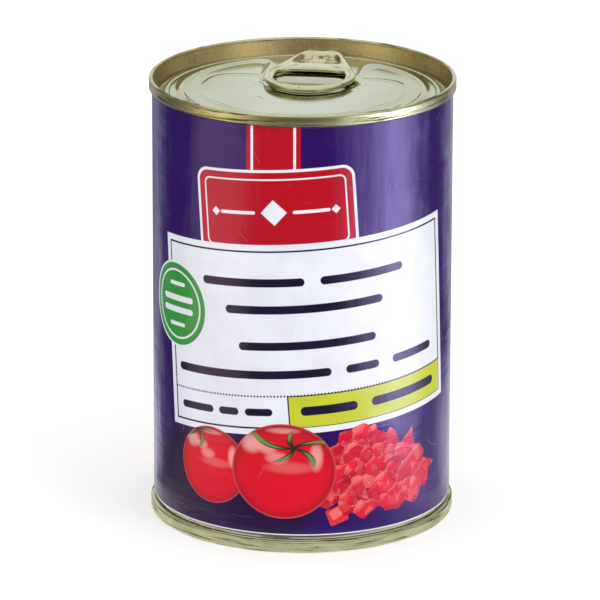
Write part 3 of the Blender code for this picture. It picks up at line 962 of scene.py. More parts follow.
body = turned_piece("tin_body", body_profile(), 256, BODY_PLATE)
base = turned_piece("bottom_end_seamed", base_profile(), 256, SEAM_PLATE)
print("body", len(body.data.polygons), "faces, bottom end", len(base.data.polygons), "faces")

# %% [markdown]
# ## The label, wrapped with Geometry Nodes
#
# A paper label is a flat rectangle that goes once round the tin and is glued where it overlaps itself. The
# tree does just that: it bends a grid round the axis, lets the last strip ride up over the first, and adds a
# faint ripple where the paper doesn't lie tight. It also stores each point's place on the flat sheet, in
# millimetres, as the attribute print_mm. The print is drawn in that flat space, like artwork for a press.


# %% The label tree
def build_wrap():
    """Geometry Nodes tree that wraps a sheet round the tin."""
    tree, start, end = new_group(
        "label_wrap",
        "GeometryNodeTree",
        [
            ("Sheet", "Geometry", None),
            ("Radius", "Float", 0.037),
            ("Bottom", "Float", 0.0),
            ("Top", "Float", 0.1),
            ("Overlap", "Float", 0.008),
            ("Lift", "Float", 0.0001),
            ("Ripple", "Float", 0.00005),
            ("Seed", "Float", 3.0),
            ("Finish", "Material", None),
        ],
        [("Wrap", "Geometry")],
    )
    given = start.outputs
    grid = node_of(tree, "GeometryNodeMeshGrid", Size_X=1.0, Size_Y=1.0, Vertices_X=481, Vertices_Y=81)
    position = tree.nodes.new("GeometryNodeInputPosition").outputs[0]
    flat = node_of(tree, "ShaderNodeSeparateXYZ", Vector=position)
    length = calc(tree, "ADD", calc(tree, "MULTIPLY", given["Radius"], math.tau), given["Overlap"])
    run = calc(tree, "MULTIPLY", flat.outputs["X"], length)
    rise = calc(tree, "SUBTRACT", given["Top"], given["Bottom"])
    share = calc(tree, "ADD", flat.outputs["Y"], 0.5)
    height = calc(tree, "ADD", given["Bottom"], calc(tree, "MULTIPLY", share, rise))
    angle = calc(tree, "DIVIDE", run, given["Radius"])
    from_end = calc(tree, "SUBTRACT", calc(tree, "MULTIPLY", length, 0.5), run)
    over = node_of(
        tree,
        "ShaderNodeMapRange",
        {"interpolation_type": "SMOOTHSTEP"},
        Value=from_end,
        From_Min=0.012,
        From_Max=0.008,
        To_Min=0.0,
        To_Max=given["Lift"],
    )
    spot = node_of(
        tree,
        "ShaderNodeCombineXYZ",
        X=calc(tree, "MULTIPLY", run, 60.0),
        Y=calc(tree, "MULTIPLY", height, 16.0),
        Z=given["Seed"],
    )
    wave = node_of(tree, "ShaderNodeTexNoise", Vector=spot.outputs[0], Scale=1.0, Detail=2.0)
    ripple = calc(tree, "MULTIPLY", calc(tree, "SUBTRACT", wave.outputs[0], 0.5), given["Ripple"])
    radius = calc(tree, "ADD", calc(tree, "ADD", given["Radius"], over.outputs[0]), ripple)
    bent = node_of(
        tree,
        "ShaderNodeCombineXYZ",
        X=calc(tree, "MULTIPLY", radius, calc(tree, "SINE", angle)),
        Y=calc(tree, "MULTIPLY", calc(tree, "MULTIPLY", radius, calc(tree, "COSINE", angle)), -1.0),
        Z=height,
    )
    sheet = node_of(
        tree,
        "ShaderNodeCombineXYZ",
        X=calc(tree, "MULTIPLY", run, 1000.0),
        Y=calc(tree, "MULTIPLY", height, 1000.0),
    )
    stored = node_of(
        tree,
        "GeometryNodeStoreNamedAttribute",
        {"data_type": "FLOAT_VECTOR", "domain": "POINT"},
        Geometry=grid.outputs["Mesh"],
        Name="print_mm",
        Value=sheet.outputs[0],
    )
    moved = node_of(tree, "GeometryNodeSetPosition", Geometry=stored.outputs[0], Position=bent.outputs[0])
    finished(tree, moved.outputs[0], given["Finish"], end.inputs["Wrap"])
    return tree


WRAP = build_wrap()
print("label tree has", len(WRAP.nodes), "nodes")

# %% [markdown]
# ## Shapes for the print
#
# The print is made of simple shapes, each a mask from 0 to 1. A distance that is negative inside a shape
# makes a clean edge at any zoom. Two groups do most of it: a box with round corners that can be tilted, and
# an oval. Both can also draw just a line, by keeping only what lies within its width of the edge.

# %% Mask groups
FILLED = 1000.0
EDGE_SOFTNESS = 0.14
MASK_INPUTS = [
    ("Place", "Vector", None),
    ("Centre X", "Float", 0.0),
    ("Centre Y", "Float", 0.0),
    ("Half width", "Float", 1.0),
    ("Half height", "Float", 1.0),
    ("Corner", "Float", 0.0),
    ("Tilt", "Float", 0.0),
    ("Line width", "Float", FILLED),
]


def local_place(tree, given):
    """(x, y) in the shape's own tilted frame."""
    place = node_of(tree, "ShaderNodeSeparateXYZ", Vector=given["Place"])
    x = calc(tree, "SUBTRACT", place.outputs["X"], given["Centre X"])
    y = calc(tree, "SUBTRACT", place.outputs["Y"], given["Centre Y"])
    cosine, sine = calc(tree, "COSINE", given["Tilt"]), calc(tree, "SINE", given["Tilt"])
    turned_x = calc(tree, "ADD", calc(tree, "MULTIPLY", x, cosine), calc(tree, "MULTIPLY", y, sine))
    turned_y = calc(tree, "SUBTRACT", calc(tree, "MULTIPLY", y, cosine), calc(tree, "MULTIPLY", x, sine))
    return turned_x, turned_y


def edge_mask(tree, distance, line_width):
    """1 inside a distance, or only along its edge where a line width is given."""
    inner = calc(tree, "MULTIPLY", calc(tree, "ADD", distance, line_width), -1.0)
    ring = calc(tree, "MAXIMUM", distance, inner)
    return calc(tree, "SUBTRACT", 0.5, calc(tree, "DIVIDE", ring, EDGE_SOFTNESS), clamp=True)


def build_box_mask():
    """Shader group: a tilted box with round corners."""
    tree, start, end = new_group("box_mask", "ShaderNodeTree", MASK_INPUTS, [("Mask", "Float")])
    given = start.outputs
    x, y = local_place(tree, given)
    reach = []
    for value, half in ((x, given["Half width"]), (y, given["Half height"])):
        straight = calc(tree, "SUBTRACT", half, given["Corner"])
        reach.append(calc(tree, "SUBTRACT", calc(tree, "ABSOLUTE", value), straight))
    outside = [calc(tree, "POWER", calc(tree, "MAXIMUM", value, 0.0), 2.0) for value in reach]
    far = calc(tree, "SQRT", calc(tree, "ADD", *outside))
    near = calc(tree, "MINIMUM", calc(tree, "MAXIMUM", *reach), 0.0)
    distance = calc(tree, "SUBTRACT", calc(tree, "ADD", far, near), given["Corner"])
    feed(tree, end.inputs["Mask"], edge_mask(tree, distance, given["Line width"]))
    return tree


def build_oval_mask():
    """Shader group: a tilted oval."""
    tree, start, end = new_group("oval_mask", "ShaderNodeTree", MASK_INPUTS, [("Mask", "Float")])
    given = start.outputs
    x, y = local_place(tree, given)
    squares = [
        calc(tree, "POWER", calc(tree, "DIVIDE", x, given["Half width"]), 2.0),
        calc(tree, "POWER", calc(tree, "DIVIDE", y, given["Half height"]), 2.0),
    ]
    share = calc(tree, "SUBTRACT", calc(tree, "SQRT", calc(tree, "ADD", *squares)), 1.0)
    distance = calc(tree, "MULTIPLY", share, calc(tree, "MINIMUM", given["Half width"], given["Half height"]))
    feed(tree, end.inputs["Mask"], edge_mask(tree, distance, given["Line width"]))
    return tree


BOX_MASK, OVAL_MASK = build_box_mask(), build_oval_mask()
print("mask groups:", BOX_MASK.name, OVAL_MASK.name)

# %% [markdown]
# ## Printed tomatoes and dice
#
# A printed tomato is shaded like a ball: from its place inside the circle comes the height of the ball there,
# and from that how much it faces the light. Soft ovals are its highlights, and a star of green sepals with
# twisted points sits near the top.


# %% The tomato group
PICTURE_INPUTS = MASK_INPUTS[:5] + [("Tilt", "Float", 0.0)]
STAR_INPUTS = [
    ("Star X", "Float", 0.0),
    ("Star Y", "Float", 0.5),
    ("Star size", "Float", 1.0),
    ("Twist", "Float", 0.0),
]
SEPALS = 5


def soft_spot(tree, x, y, centre, wide, high):
    """1 in the middle of a soft oval and 0 outside it."""
    across = calc(tree, "DIVIDE", calc(tree, "SUBTRACT", x, centre[0]), wide)
    down = calc(tree, "DIVIDE", calc(tree, "SUBTRACT", y, centre[1]), high)
    return span(tree, sum_of_squares(tree, across, down), 2.6, 0.0)


def build_tomato():
    """Shader group: a shaded tomato with sepals, as a colour and a mask."""
    outputs = [("Colour", "Color"), ("Mask", "Float")]
    tree, start, end = new_group("printed_tomato", "ShaderNodeTree", PICTURE_INPUTS + STAR_INPUTS, outputs)
    given = start.outputs
    x, y = local_place(tree, given)
    x = calc(tree, "DIVIDE", x, given["Half width"])
    y = calc(tree, "DIVIDE", y, given["Half height"])
    square = sum_of_squares(tree, x, y)
    ball = calc(tree, "SQRT", calc(tree, "MAXIMUM", calc(tree, "SUBTRACT", 1.0, square), 0.0))
    lit = calc(tree, "MULTIPLY_ADD", y, -0.5, calc(tree, "MULTIPLY", ball, 0.35))
    lit = calc(tree, "MULTIPLY_ADD", x, 0.2, lit)
    flesh = mixed(tree, span(tree, lit, -0.5, 0.25), srgb(196, 30, 24), srgb(224, 3, 14))
    flesh = mixed(tree, span(tree, ball, 0.72, 0.1), flesh, srgb(168, 6, 16))
    flesh = inked(tree, flesh, span(tree, square, 0.9, 0.99), 0.35, srgb(244, 120, 110))
    for centre, wide, high, strength in (
        ((-0.6, 0.56), 0.16, 0.16, 0.55),
        ((-0.3, 0.48), 0.14, 0.1, 0.45),
        ((-0.12, 0.28), 0.17, 0.1, 0.4),
        ((0.12, 0.08), 0.36, 0.1, 0.16),
        ((0.62, 0.3), 0.1, 0.22, 0.55),
        ((0.0, 0.86), 0.24, 0.05, 0.4),
    ):
        shine = soft_spot(tree, x, y, centre, wide, high)
        flesh = inked(tree, flesh, shine, strength, srgb(255, 206, 196))
    star_x = calc(tree, "DIVIDE", calc(tree, "SUBTRACT", x, given["Star X"]), given["Star size"])
    star_y = calc(tree, "SUBTRACT", y, given["Star Y"])
    star_y = calc(tree, "DIVIDE", star_y, calc(tree, "MULTIPLY", given["Star size"], 0.62))
    reach = calc(tree, "SQRT", sum_of_squares(tree, star_x, star_y))
    turn = calc(tree, "MULTIPLY_ADD", reach, 1.1, given["Twist"])
    turn = calc(tree, "ADD", calc(tree, "ARCTAN2", star_y, star_x), turn)
    spike = calc(tree, "COSINE", calc(tree, "MULTIPLY", turn, SEPALS / 2))
    spike = calc(tree, "POWER", calc(tree, "ABSOLUTE", spike), 8.0)
    uneven = calc(tree, "MULTIPLY_ADD", calc(tree, "SINE", calc(tree, "MULTIPLY", turn, 2.0)), 0.16, 0.5)
    leaf_edge = calc(tree, "MULTIPLY_ADD", spike, uneven, 0.07)
    inside = calc(tree, "SUBTRACT", leaf_edge, reach)
    flesh = inked(tree, flesh, span(tree, inside, -0.1, 0.02), 0.5, srgb(104, 4, 14))
    veins = calc(tree, "MULTIPLY", span(tree, spike, 0.55, 1.0), span(tree, reach, 0.08, 0.3))
    green = mixed(tree, veins, srgb(26, 44, 20), srgb(112, 150, 70))
    feed(tree, end.inputs["Colour"], mixed(tree, span(tree, inside, 0.0, 0.03), flesh, green))
    edge = calc(tree, "SUBTRACT", calc(tree, "SQRT", square), 1.0)
    edge = calc(tree, "MULTIPLY", edge, given["Half height"])
    feed(tree, end.inputs["Mask"], edge_mask(tree, edge, FILLED))
    return tree


TOMATO = build_tomato()
print("tomato group has", len(TOMATO.nodes), "nodes")

# %% [markdown]
# The heap of diced fruit is a Voronoi pattern: each cell takes one of several reds, and a cell belongs to
# the heap when its own centre lies inside an oval, which gives the heap a broken outline of small blocks.
# How far a place leans to one side of its cell makes a lit and a shaded side on each block.


# %% The dice group
def build_dice():
    """Shader group: a heap of diced fruit, as a colour and a mask."""
    outputs = [("Colour", "Color"), ("Mask", "Float")]
    tree, start, end = new_group("printed_dice", "ShaderNodeTree", PICTURE_INPUTS, outputs)
    given = start.outputs
    bend = node_of(tree, "ShaderNodeTexNoise", Vector=given["Place"], Scale=0.5, Detail=2.0)
    wobble = node_of(tree, "ShaderNodeVectorMath", {"operation": "MULTIPLY_ADD"})
    feed(tree, wobble.inputs[0], bend.outputs["Color"])
    feed(tree, wobble.inputs[1], (1.4, 1.4, 0.0))
    feed(tree, wobble.inputs[2], given["Place"])
    settings = {"voronoi_dimensions": "2D"}
    bent = wobble.outputs[0]
    cells = node_of(tree, "ShaderNodeTexVoronoi", settings, Vector=bent, Scale=0.3, Randomness=1.0)
    middle = node_of(tree, "ShaderNodeSeparateXYZ", Vector=cells.outputs["Position"])
    x = calc(tree, "SUBTRACT", middle.outputs["X"], given["Centre X"])
    y = calc(tree, "SUBTRACT", middle.outputs["Y"], given["Centre Y"])
    x, y = calc(tree, "DIVIDE", x, given["Half width"]), calc(tree, "DIVIDE", y, given["Half height"])
    flatter = calc(tree, "MULTIPLY", calc(tree, "MAXIMUM", y, 0.0), calc(tree, "MULTIPLY", x, 0.35))
    y = calc(tree, "ADD", y, flatter)
    heap = [calc(tree, "POWER", calc(tree, "ABSOLUTE", value), 2.3) for value in (x, y)]
    chance = node_of(tree, "ShaderNodeSeparateColor", Color=cells.outputs["Color"])
    flesh = mixed(tree, chance.outputs["Red"], srgb(196, 2, 30), srgb(230, 24, 44))
    small = node_of(tree, "ShaderNodeTexVoronoi", settings, Vector=bent, Scale=0.55, Randomness=1.0)
    face = node_of(tree, "ShaderNodeSeparateColor", Color=small.outputs["Color"])
    flesh = inked(tree, flesh, span(tree, face.outputs["Green"], 0.6, 0.95), 0.5, srgb(246, 118, 104))
    flesh = inked(tree, flesh, span(tree, face.outputs["Blue"], 0.8, 0.95), 0.5, srgb(150, 4, 20))
    lean = node_of(tree, "ShaderNodeVectorMath", {"operation": "SUBTRACT"})
    feed(tree, lean.inputs[0], bent)
    feed(tree, lean.inputs[1], cells.outputs["Position"])
    side = node_of(tree, "ShaderNodeVectorMath", {"operation": "DOT_PRODUCT"})
    feed(tree, side.inputs[0], lean.outputs[0])
    feed(tree, side.inputs[1], (-0.45, 0.7, 0.0))
    leaning = side.outputs["Value"]
    flesh = inked(tree, flesh, span(tree, leaning, 0.5, 1.7), 0.5, srgb(250, 138, 124))
    flesh = inked(tree, flesh, span(tree, leaning, -0.4, -1.6), 0.55, srgb(158, 2, 22))
    wet = noise(tree, given["Place"], 0.9, 3.0)
    flesh = inked(tree, flesh, span(tree, wet, 0.64, 0.72), 0.4, srgb(255, 200, 190))
    feed(tree, end.inputs["Colour"], flesh)
    feed(tree, end.inputs["Mask"], calc(tree, "LESS_THAN", calc(tree, "ADD", *heap), 1.0))
    return tree


DICE = build_dice()
print("dice group has", len(DICE.nodes), "nodes")

# %% [markdown]
# A dotted rule is one dot that repeats: the fraction of the distance along the line, counted in steps,
# says where a place lies in its own step.


# %% The dotted rule
def build_dots():
    """Shader group: a row of round dots, as a mask. Half width is the row's, half height a dot's."""
    inputs = MASK_INPUTS[:5] + [("Tilt", "Float", 0.0), ("Pitch", "Float", 0.84)]
    tree, start, end = new_group("dot_row", "ShaderNodeTree", inputs, [("Mask", "Float")])
    given = start.outputs
    x, y = local_place(tree, given)
    within = calc(tree, "LESS_THAN", calc(tree, "ABSOLUTE", x), given["Half width"])
    step = calc(tree, "SUBTRACT", calc(tree, "FRACT", calc(tree, "DIVIDE", x, given["Pitch"])), 0.5)
    step = calc(tree, "MULTIPLY", step, given["Pitch"])
    distance = calc(tree, "SQRT", sum_of_squares(tree, step, y))
    distance = calc(tree, "SUBTRACT", distance, given["Half height"])
    feed(tree, end.inputs["Mask"], calc(tree, "MULTIPLY", within, edge_mask(tree, distance, FILLED)))
    return tree


DOTS = build_dots()
print("print groups:", TOMATO.name, DICE.name, DOTS.name)

# %% [markdown]
# ## The label's layout
#
# The design is a list of shapes, from the ground up, which one loop turns into shader nodes. Lengths are
# millimetres on the flat sheet: x to the right from the middle of the front, y up from the table. Inks
# are given as screen colours, since that is how a colour is read off a picture.


# %% Inks and shapes
TILT = 0.0707
PANEL_CENTRE = (1.8, 55.35)
NAVY = srgb(24, 22, 44)
WHITE = srgb(235, 237, 245)
RED = srgb(184, 2, 12)
LIME = srgb(198, 206, 40)
GREEN = srgb(52, 150, 58)
PURPLE = srgb(41, 4, 93)
SHADE = srgb(34, 12, 38)


def sloped(dx, dy, origin=PANEL_CENTRE):
    """A point on the sheet, from its place on the sloping panel."""
    x = origin[0] + dx * math.cos(TILT) - dy * math.sin(TILT)
    return x, origin[1] + dx * math.sin(TILT) + dy * math.cos(TILT)


def box(centre, half_width, half_height, colour, corner=0.0, tilt=TILT, line=FILLED):
    """One box of the design."""
    return ("box", centre, half_width, half_height, corner, tilt, line, colour)


def disc(centre, radius, colour, line=FILLED):
    """One disc of the design."""
    return ("disc", centre, radius, radius, 0.0, 0.0, line, colour)


def row_bar(left, right, height, half_height, origin=PANEL_CENTRE):
    """One rounded bar in a row, from its left and right end and its height on the panel."""
    centre = sloped((left + right) / 2, height, origin)
    return box(centre, (right - left) / 2, half_height, NAVY, corner=half_height)


print("panel slopes by", round(math.degrees(TILT), 2), "degrees")

# %% [markdown]
# A purple ground runs all the way round. On the front sits a white panel on a slight slope, with a fine
# inner line, a dotted rule and a lime field at its foot. A red ribbon hangs from the top edge and ends
# in a plain red plaque. Rows of rounded bars fill the panel, and a green disc sits on its left.

# %% The front of the label
PLAQUE, DIAMOND = (-7.0, 87.2), TILT + math.pi / 4
design = [
    box((-7.15, 105.0), 6.75, 12.0, RED, tilt=0.0),
    box((-12.5, 105.0), 0.32, 12.0, WHITE, tilt=0.0),
    box((-1.9, 105.0), 0.32, 12.0, WHITE, tilt=0.0),
    box(PLAQUE, 20.6, 10.8, WHITE, corner=3.2),
    box(PLAQUE, 19.9, 10.1, RED, corner=2.6),
    box(PLAQUE, 18.3, 8.5, WHITE, corner=1.6, line=0.4),
    box(PLAQUE, 2.3, 2.3, WHITE, tilt=DIAMOND),
]
for side in (-1, 1):
    design.append(box(sloped(9.3 * side, 0.0, PLAQUE), 4.6, 0.42, WHITE, corner=0.4))
    design.append(box(sloped(15.3 * side, 0.0, PLAQUE), 0.8, 0.8, WHITE, tilt=DIAMOND))
design += [
    box(PANEL_CENTRE, 41.1, 24.25, WHITE),
    box(PANEL_CENTRE, 39.6, 22.75, NAVY, line=0.46),
    box(sloped(16.5, -18.5), 23.0, 4.1, NAVY),
    box(sloped(16.6, -18.6), 22.75, 3.95, LIME),
]
BAR_ROWS = (
    (14.6, 1.05, ((-27.2, -0.2), (3.7, 26.0))),
    (7.7, 1.05, ((-20.9, 19.5),)),
    (-1.6, 1.05, ((-17.9, 17.0),)),
    (-8.9, 1.05, ((-37.4, 4.9), (8.6, 17.5), (21.5, 35.3))),
    (-18.5, 0.95, ((-37.0, -26.4), (-24.7, -19.2), (-17.5, -10.4))),
    (-18.5, 1.15, ((-3.4, 11.0), (14.8, 36.0))),
)
for height, half_height, runs in BAR_ROWS:
    design += [row_bar(left, right, height, half_height) for left, right in runs]
RULE, RULE_HALF_WIDTH, RULE_DOT = sloped(0.0, -14.4), 39.2, 0.25
ROUNDEL = (-36.2, 59.3)
design += [disc(ROUNDEL, 10.9, WHITE), disc(ROUNDEL, 10.4, GREEN), disc(ROUNDEL, 8.9, WHITE, line=0.5)]
for rise, half_width, half_height, corner in ((1.5, 6.2, 0.75, 0.7), (5.2, 3.2, 0.5, 0.45)):
    for side in (1, -1):
        centre = (ROUNDEL[0], ROUNDEL[1] + rise * side)
        design.append(box(centre, half_width, half_height, WHITE, corner=corner))
print(len(design), "shapes on the front")

# %% [markdown]
# The back is not in the photograph. It gets what such labels usually have there: a plain white panel with
# rows of bars, and a lime field with bars. The pictures come last: two whole tomatoes and the heap of
# diced fruit in front, with two cubes rolled away from it, and one more tomato at the side. A thin white
# line along the lower edge is where the printed ground ends.

# %% The back and the pictures
BACK_PANEL = (96.0, 55.0)
design.append(box((0.0, LABEL_LOW), 130.0, 0.3, WHITE, tilt=0.0))
design += [box(BACK_PANEL, 16.5, 33.0, WHITE), box(BACK_PANEL, 15.2, 31.7, NAVY, line=0.4)]
design += [row_bar(-12.5, 12.5 - 3.0 * (i % 3), 27.0 - 4.4 * i, 0.45, BACK_PANEL) for i in range(13)]
SIDE_PANEL = (-84.0, 62.0)
design.append(box(SIDE_PANEL, 19.0, 14.0, LIME))
design += [row_bar(-14.0, 14.0 - 5.0 * (i % 2), 8.0 - 4.6 * i, 0.6, SIDE_PANEL) for i in range(4)]
pictures = [
    (TOMATO, (-23.9, 20.4), 10.0, 9.9, {"Star_X": -0.45, "Star_Y": 0.84, "Star_size": 1.1, "Twist": 2.0}),
    (DICE, (21.9, 19.8), 16.4, 10.2, {}),
    (TOMATO, (-4.6, 21.0), 13.2, 12.3, {"Star_X": 0.2, "Star_Y": 0.5, "Star_size": 1.25, "Twist": 0.4}),
    (TOMATO, (-84.0, 28.0), 13.0, 12.3, {"Star_X": 0.1, "Star_Y": 0.55, "Star_size": 1.0, "Twist": 1.1}),
]
loose_cubes = [((8.9, 9.4), 2.5, 2.2, 0.35), ((31.4, 12.2), 2.3, 2.1, -0.5)]
for centre, half_width, half_height, tilt in loose_cubes:
    design.append(box(centre, half_width, half_height, srgb(222, 50, 52), corner=0.5, tilt=tilt))
    top, pale = (centre[0] - 0.3, centre[1] + 0.5), srgb(244, 112, 100)
    design.append(box(top, half_width * 0.62, half_height * 0.55, pale, corner=0.4, tilt=tilt + 0.2))
print(len(design), "shapes and", len(pictures), "pictures in the design")

# %% [markdown]
# The design goes on like ink on a press. First comes the purple ground, with a soft printed shade under
# the fruit, then each flat shape of the layout through its mask, and the pictures last. Every step mixes
# one more colour over what lies below.


# %% The printed colour
def place_on_label(tree):
    """The place on the flat label in millimetres, which the wrap stored as an attribute."""
    return node_of(tree, "ShaderNodeAttribute", {"attribute_name": "print_mm"}).outputs["Vector"]


def placed(tree, group, place, centre, half_width, half_height, **more):
    """A shape or picture group, set to its centre and half sizes on the label."""
    sizes = {"Half_width": half_width, "Half_height": half_height}
    return use_group(tree, group, Place=place, Centre_X=centre[0], Centre_Y=centre[1], **sizes, **more)


def printed_colour(tree, place):
    """The whole design as a colour, from the ground up to the pictures."""
    spot = node_of(tree, "ShaderNodeSeparateXYZ", Vector=place)
    under = soft_spot(tree, spot.outputs["X"], spot.outputs["Y"], (-22.0, 13.0), 19.0, 14.0)
    colour = inked(tree, PURPLE, span(tree, under, 0.0, 0.6), 0.8, SHADE)
    for kind, centre, half_width, half_height, corner, tilt, line, ink in design:
        group = BOX_MASK if kind == "box" else OVAL_MASK
        form = {"Corner": corner, "Tilt": tilt, "Line_width": line}
        shape = placed(tree, group, place, centre, half_width, half_height, **form)
        colour = mixed(tree, shape.outputs["Mask"], colour, ink)
    rule = placed(tree, DOTS, place, RULE, RULE_HALF_WIDTH, RULE_DOT, Tilt=TILT)
    colour = mixed(tree, rule.outputs["Mask"], colour, NAVY)
    for group, centre, half_width, half_height, star in pictures:
        picture = placed(tree, group, place, centre, half_width, half_height, **star)
        colour = mixed(tree, picture.outputs["Mask"], colour, picture.outputs["Colour"])
    return colour


print("label colour uses", len(design) + len(pictures) + 1, "groups")

# %% [markdown]
# Handling has left small pale specks, fine rubbed streaks and a few long scratches. Streaks come from a
# noise that is stretched one way, and a scratch is the line where a slow noise passes one value.


# %% Marks on the paper
def stretched(tree, place, scale_x, scale_y, turn=0.0):
    """The place scaled by another amount each way, which draws a pattern out into streaks."""
    settings = {"Scale": (scale_x, scale_y, 1.0), "Rotation": (0.0, 0.0, turn)}
    return node_of(tree, "ShaderNodeMapping", Vector=place, **settings).outputs[0]


def handling_marks(tree, place):
    """All marks as one mask, and the scratches once more by themselves."""
    dots = node_of(tree, "ShaderNodeTexVoronoi", Vector=place, Scale=0.3)
    chance = node_of(tree, "ShaderNodeSeparateColor", Color=dots.outputs["Color"])
    radius = calc(tree, "MULTIPLY", chance.outputs["Green"], 0.05)
    small = calc(tree, "LESS_THAN", dots.outputs["Distance"], radius)
    specks = calc(tree, "MULTIPLY", small, calc(tree, "LESS_THAN", chance.outputs["Red"], 0.4))
    hair = noise(tree, stretched(tree, place, 0.9, 0.05, 0.12), 1.0, 6.0, 0.75)
    rubs = calc(tree, "MULTIPLY", span(tree, hair, 0.66, 0.74), 0.1)
    wander = calc(tree, "SUBTRACT", noise(tree, place, 0.045, 1.5), 0.47)
    line = span(tree, calc(tree, "ABSOLUTE", wander), 0.0022, 0.0006)
    scratch = calc(tree, "MULTIPLY", line, span(tree, noise(tree, place, 0.12, 2.0), 0.56, 0.66))
    marks = calc(tree, "MAXIMUM", calc(tree, "MULTIPLY", specks, 0.7), rubs)
    return calc(tree, "MAXIMUM", marks, calc(tree, "MULTIPLY", scratch, 0.16)), scratch


print("paper marks: specks, rubs and scratches")


# %% [markdown]
# A thin paper glued round a tin is never quite flat. It has soft upright folds, ripples in some places
# only, and a very fine grain. They are too low for the mesh, so they go into one height for a Bump node.


# %% Relief of the paper
def paper_height(tree, place, scratch):
    """Height of the paper: folds, ripples in patches, grain and the furrows of scratches."""
    folds = noise(tree, stretched(tree, place, 0.16, 0.03), 1.0, 3.0)
    ripples = noise(tree, stretched(tree, place, 0.035, 0.22, 0.15), 1.0, 3.0)
    patches = span(tree, noise(tree, place, 0.035, 2.0), 0.42, 0.62)
    height = calc(tree, "MULTIPLY_ADD", noise(tree, place, 2.2, 3.0), 0.035, folds)
    height = calc(tree, "MULTIPLY_ADD", calc(tree, "MULTIPLY", ripples, patches), 2.3, height)
    return calc(tree, "MULTIPLY_ADD", scratch, -0.05, height)


print("paper relief: folds, ripples, grain and furrows")


# %% [markdown]
# The paper is coated and glossy: a dielectric with a fairly low roughness. Its ink is not perfectly even,
# so one slow noise changes colour and gloss together. The sheet's cut edge and back are bare paper.


# %% The two paper finishes
GLOSS_TINT = (0.52, 0.43, 0.78, 1.0)


def new_finish(name):
    """A new material, with its node tree and its Principled BSDF."""
    material = bpy.data.materials.new(name)
    material.use_nodes = True
    return material, material.node_tree, material.node_tree.nodes["Principled BSDF"]


def printed_paper():
    """The label's front: the design with uneven ink, marks, gloss and relief."""
    material, tree, shader = new_finish("glossy_printed_paper")
    place = place_on_label(tree)
    clouds = noise(tree, place, 0.06, 4.0, 0.6)
    colour = inked(tree, printed_colour(tree, place), span(tree, clouds, 0.35, 0.7), 0.1, srgb(30, 14, 60))
    marks, scratch = handling_marks(tree, place)
    feed(tree, shader.inputs["Base Color"], mixed(tree, marks, colour, srgb(205, 200, 225)))
    gloss = calc(tree, "MULTIPLY_ADD", span(tree, clouds, 0.3, 0.7), 0.06, 0.15)
    feed(tree, shader.inputs["Roughness"], calc(tree, "MULTIPLY_ADD", marks, 0.3, gloss))
    shader.inputs["Specular IOR Level"].default_value = 1.0
    shader.inputs["Specular Tint"].default_value = GLOSS_TINT
    height = paper_height(tree, place, scratch)
    relief = node_of(tree, "ShaderNodeBump", Strength=0.8, Distance=0.3 * MM, Height=height)
    feed(tree, shader.inputs["Normal"], relief.outputs[0])
    return material


def bare_paper():
    """The cut edge and the back of the sheet."""
    material, tree, shader = new_finish("bare_paper_edge")
    fibre = noise(tree, place_on_label(tree), 1.2, 4.0, 0.7)
    tone = mixed(tree, fibre, srgb(250, 250, 248), srgb(206, 204, 206))
    feed(tree, shader.inputs["Base Color"], tone)
    shader.inputs["Roughness"].default_value = 0.7
    return material


PRINT, EDGE = printed_paper(), bare_paper()
print("print material has", len(PRINT.node_tree.nodes), "nodes")

# %% [markdown]
# The wrap group turns one point into the rolled sheet, so the label can be made again at another size by
# its inputs alone. A Solidify modifier then gives the sheet a thickness, with bare paper on its cut edge
# and back. It has to grow inwards, so the side that the faces look to is tested first.

# %% The label piece
label = new_piece("label_wrap", [(0.0, 0.0, 0.0)], [])
wrap = label.modifiers.new("wrap", "NODES")
wrap.node_group = WRAP
PAPER_THICKNESS = 0.2
for name, value in (
    ("Radius", LABEL_RADIUS * MM),
    ("Bottom", LABEL_LOW * MM),
    ("Top", LABEL_HIGH * MM),
    ("Overlap", 8.0 * MM),
    ("Lift", 0.12 * MM),
    ("Ripple", 0.10 * MM),
    ("Seed", 3.0),
    ("Finish", PRINT),
):
    set_input(wrap, name, value)
dress(baked(label), PRINT, EDGE)
thick = label.modifiers.new("paper", "SOLIDIFY")
thick.thickness = PAPER_THICKNESS * MM
thick.material_offset = 1
thick.material_offset_rim = 1
label.data.update()
outward = label.data.polygons[0].normal.dot(label.data.polygons[0].center) > 0
thick.offset = -1.0 if outward else 1.0
thick.use_flip_normals = not outward
baked(label)
label.data.shade_smooth()
label.data.set_sharp_from_angle(angle=math.radians(40))
print("label:", len(label.data.polygons), "faces")

# %% [markdown]
# ## What the tin mirrors
#
# Metal and varnish show their surroundings more than themselves, so the surroundings are designed like a
# studio set. One ramp runs once round the tin, from behind it by the left to the camera and by the right
# to behind again: a white sweep behind, a tall bright box on the right, a weaker warm one on the left, and
# the dark room on the camera's side. A second ramp holds the same set from a little higher up. Only
# mirrored rays see this set. Soft rays see plain white, which gives the even light of a product picture.


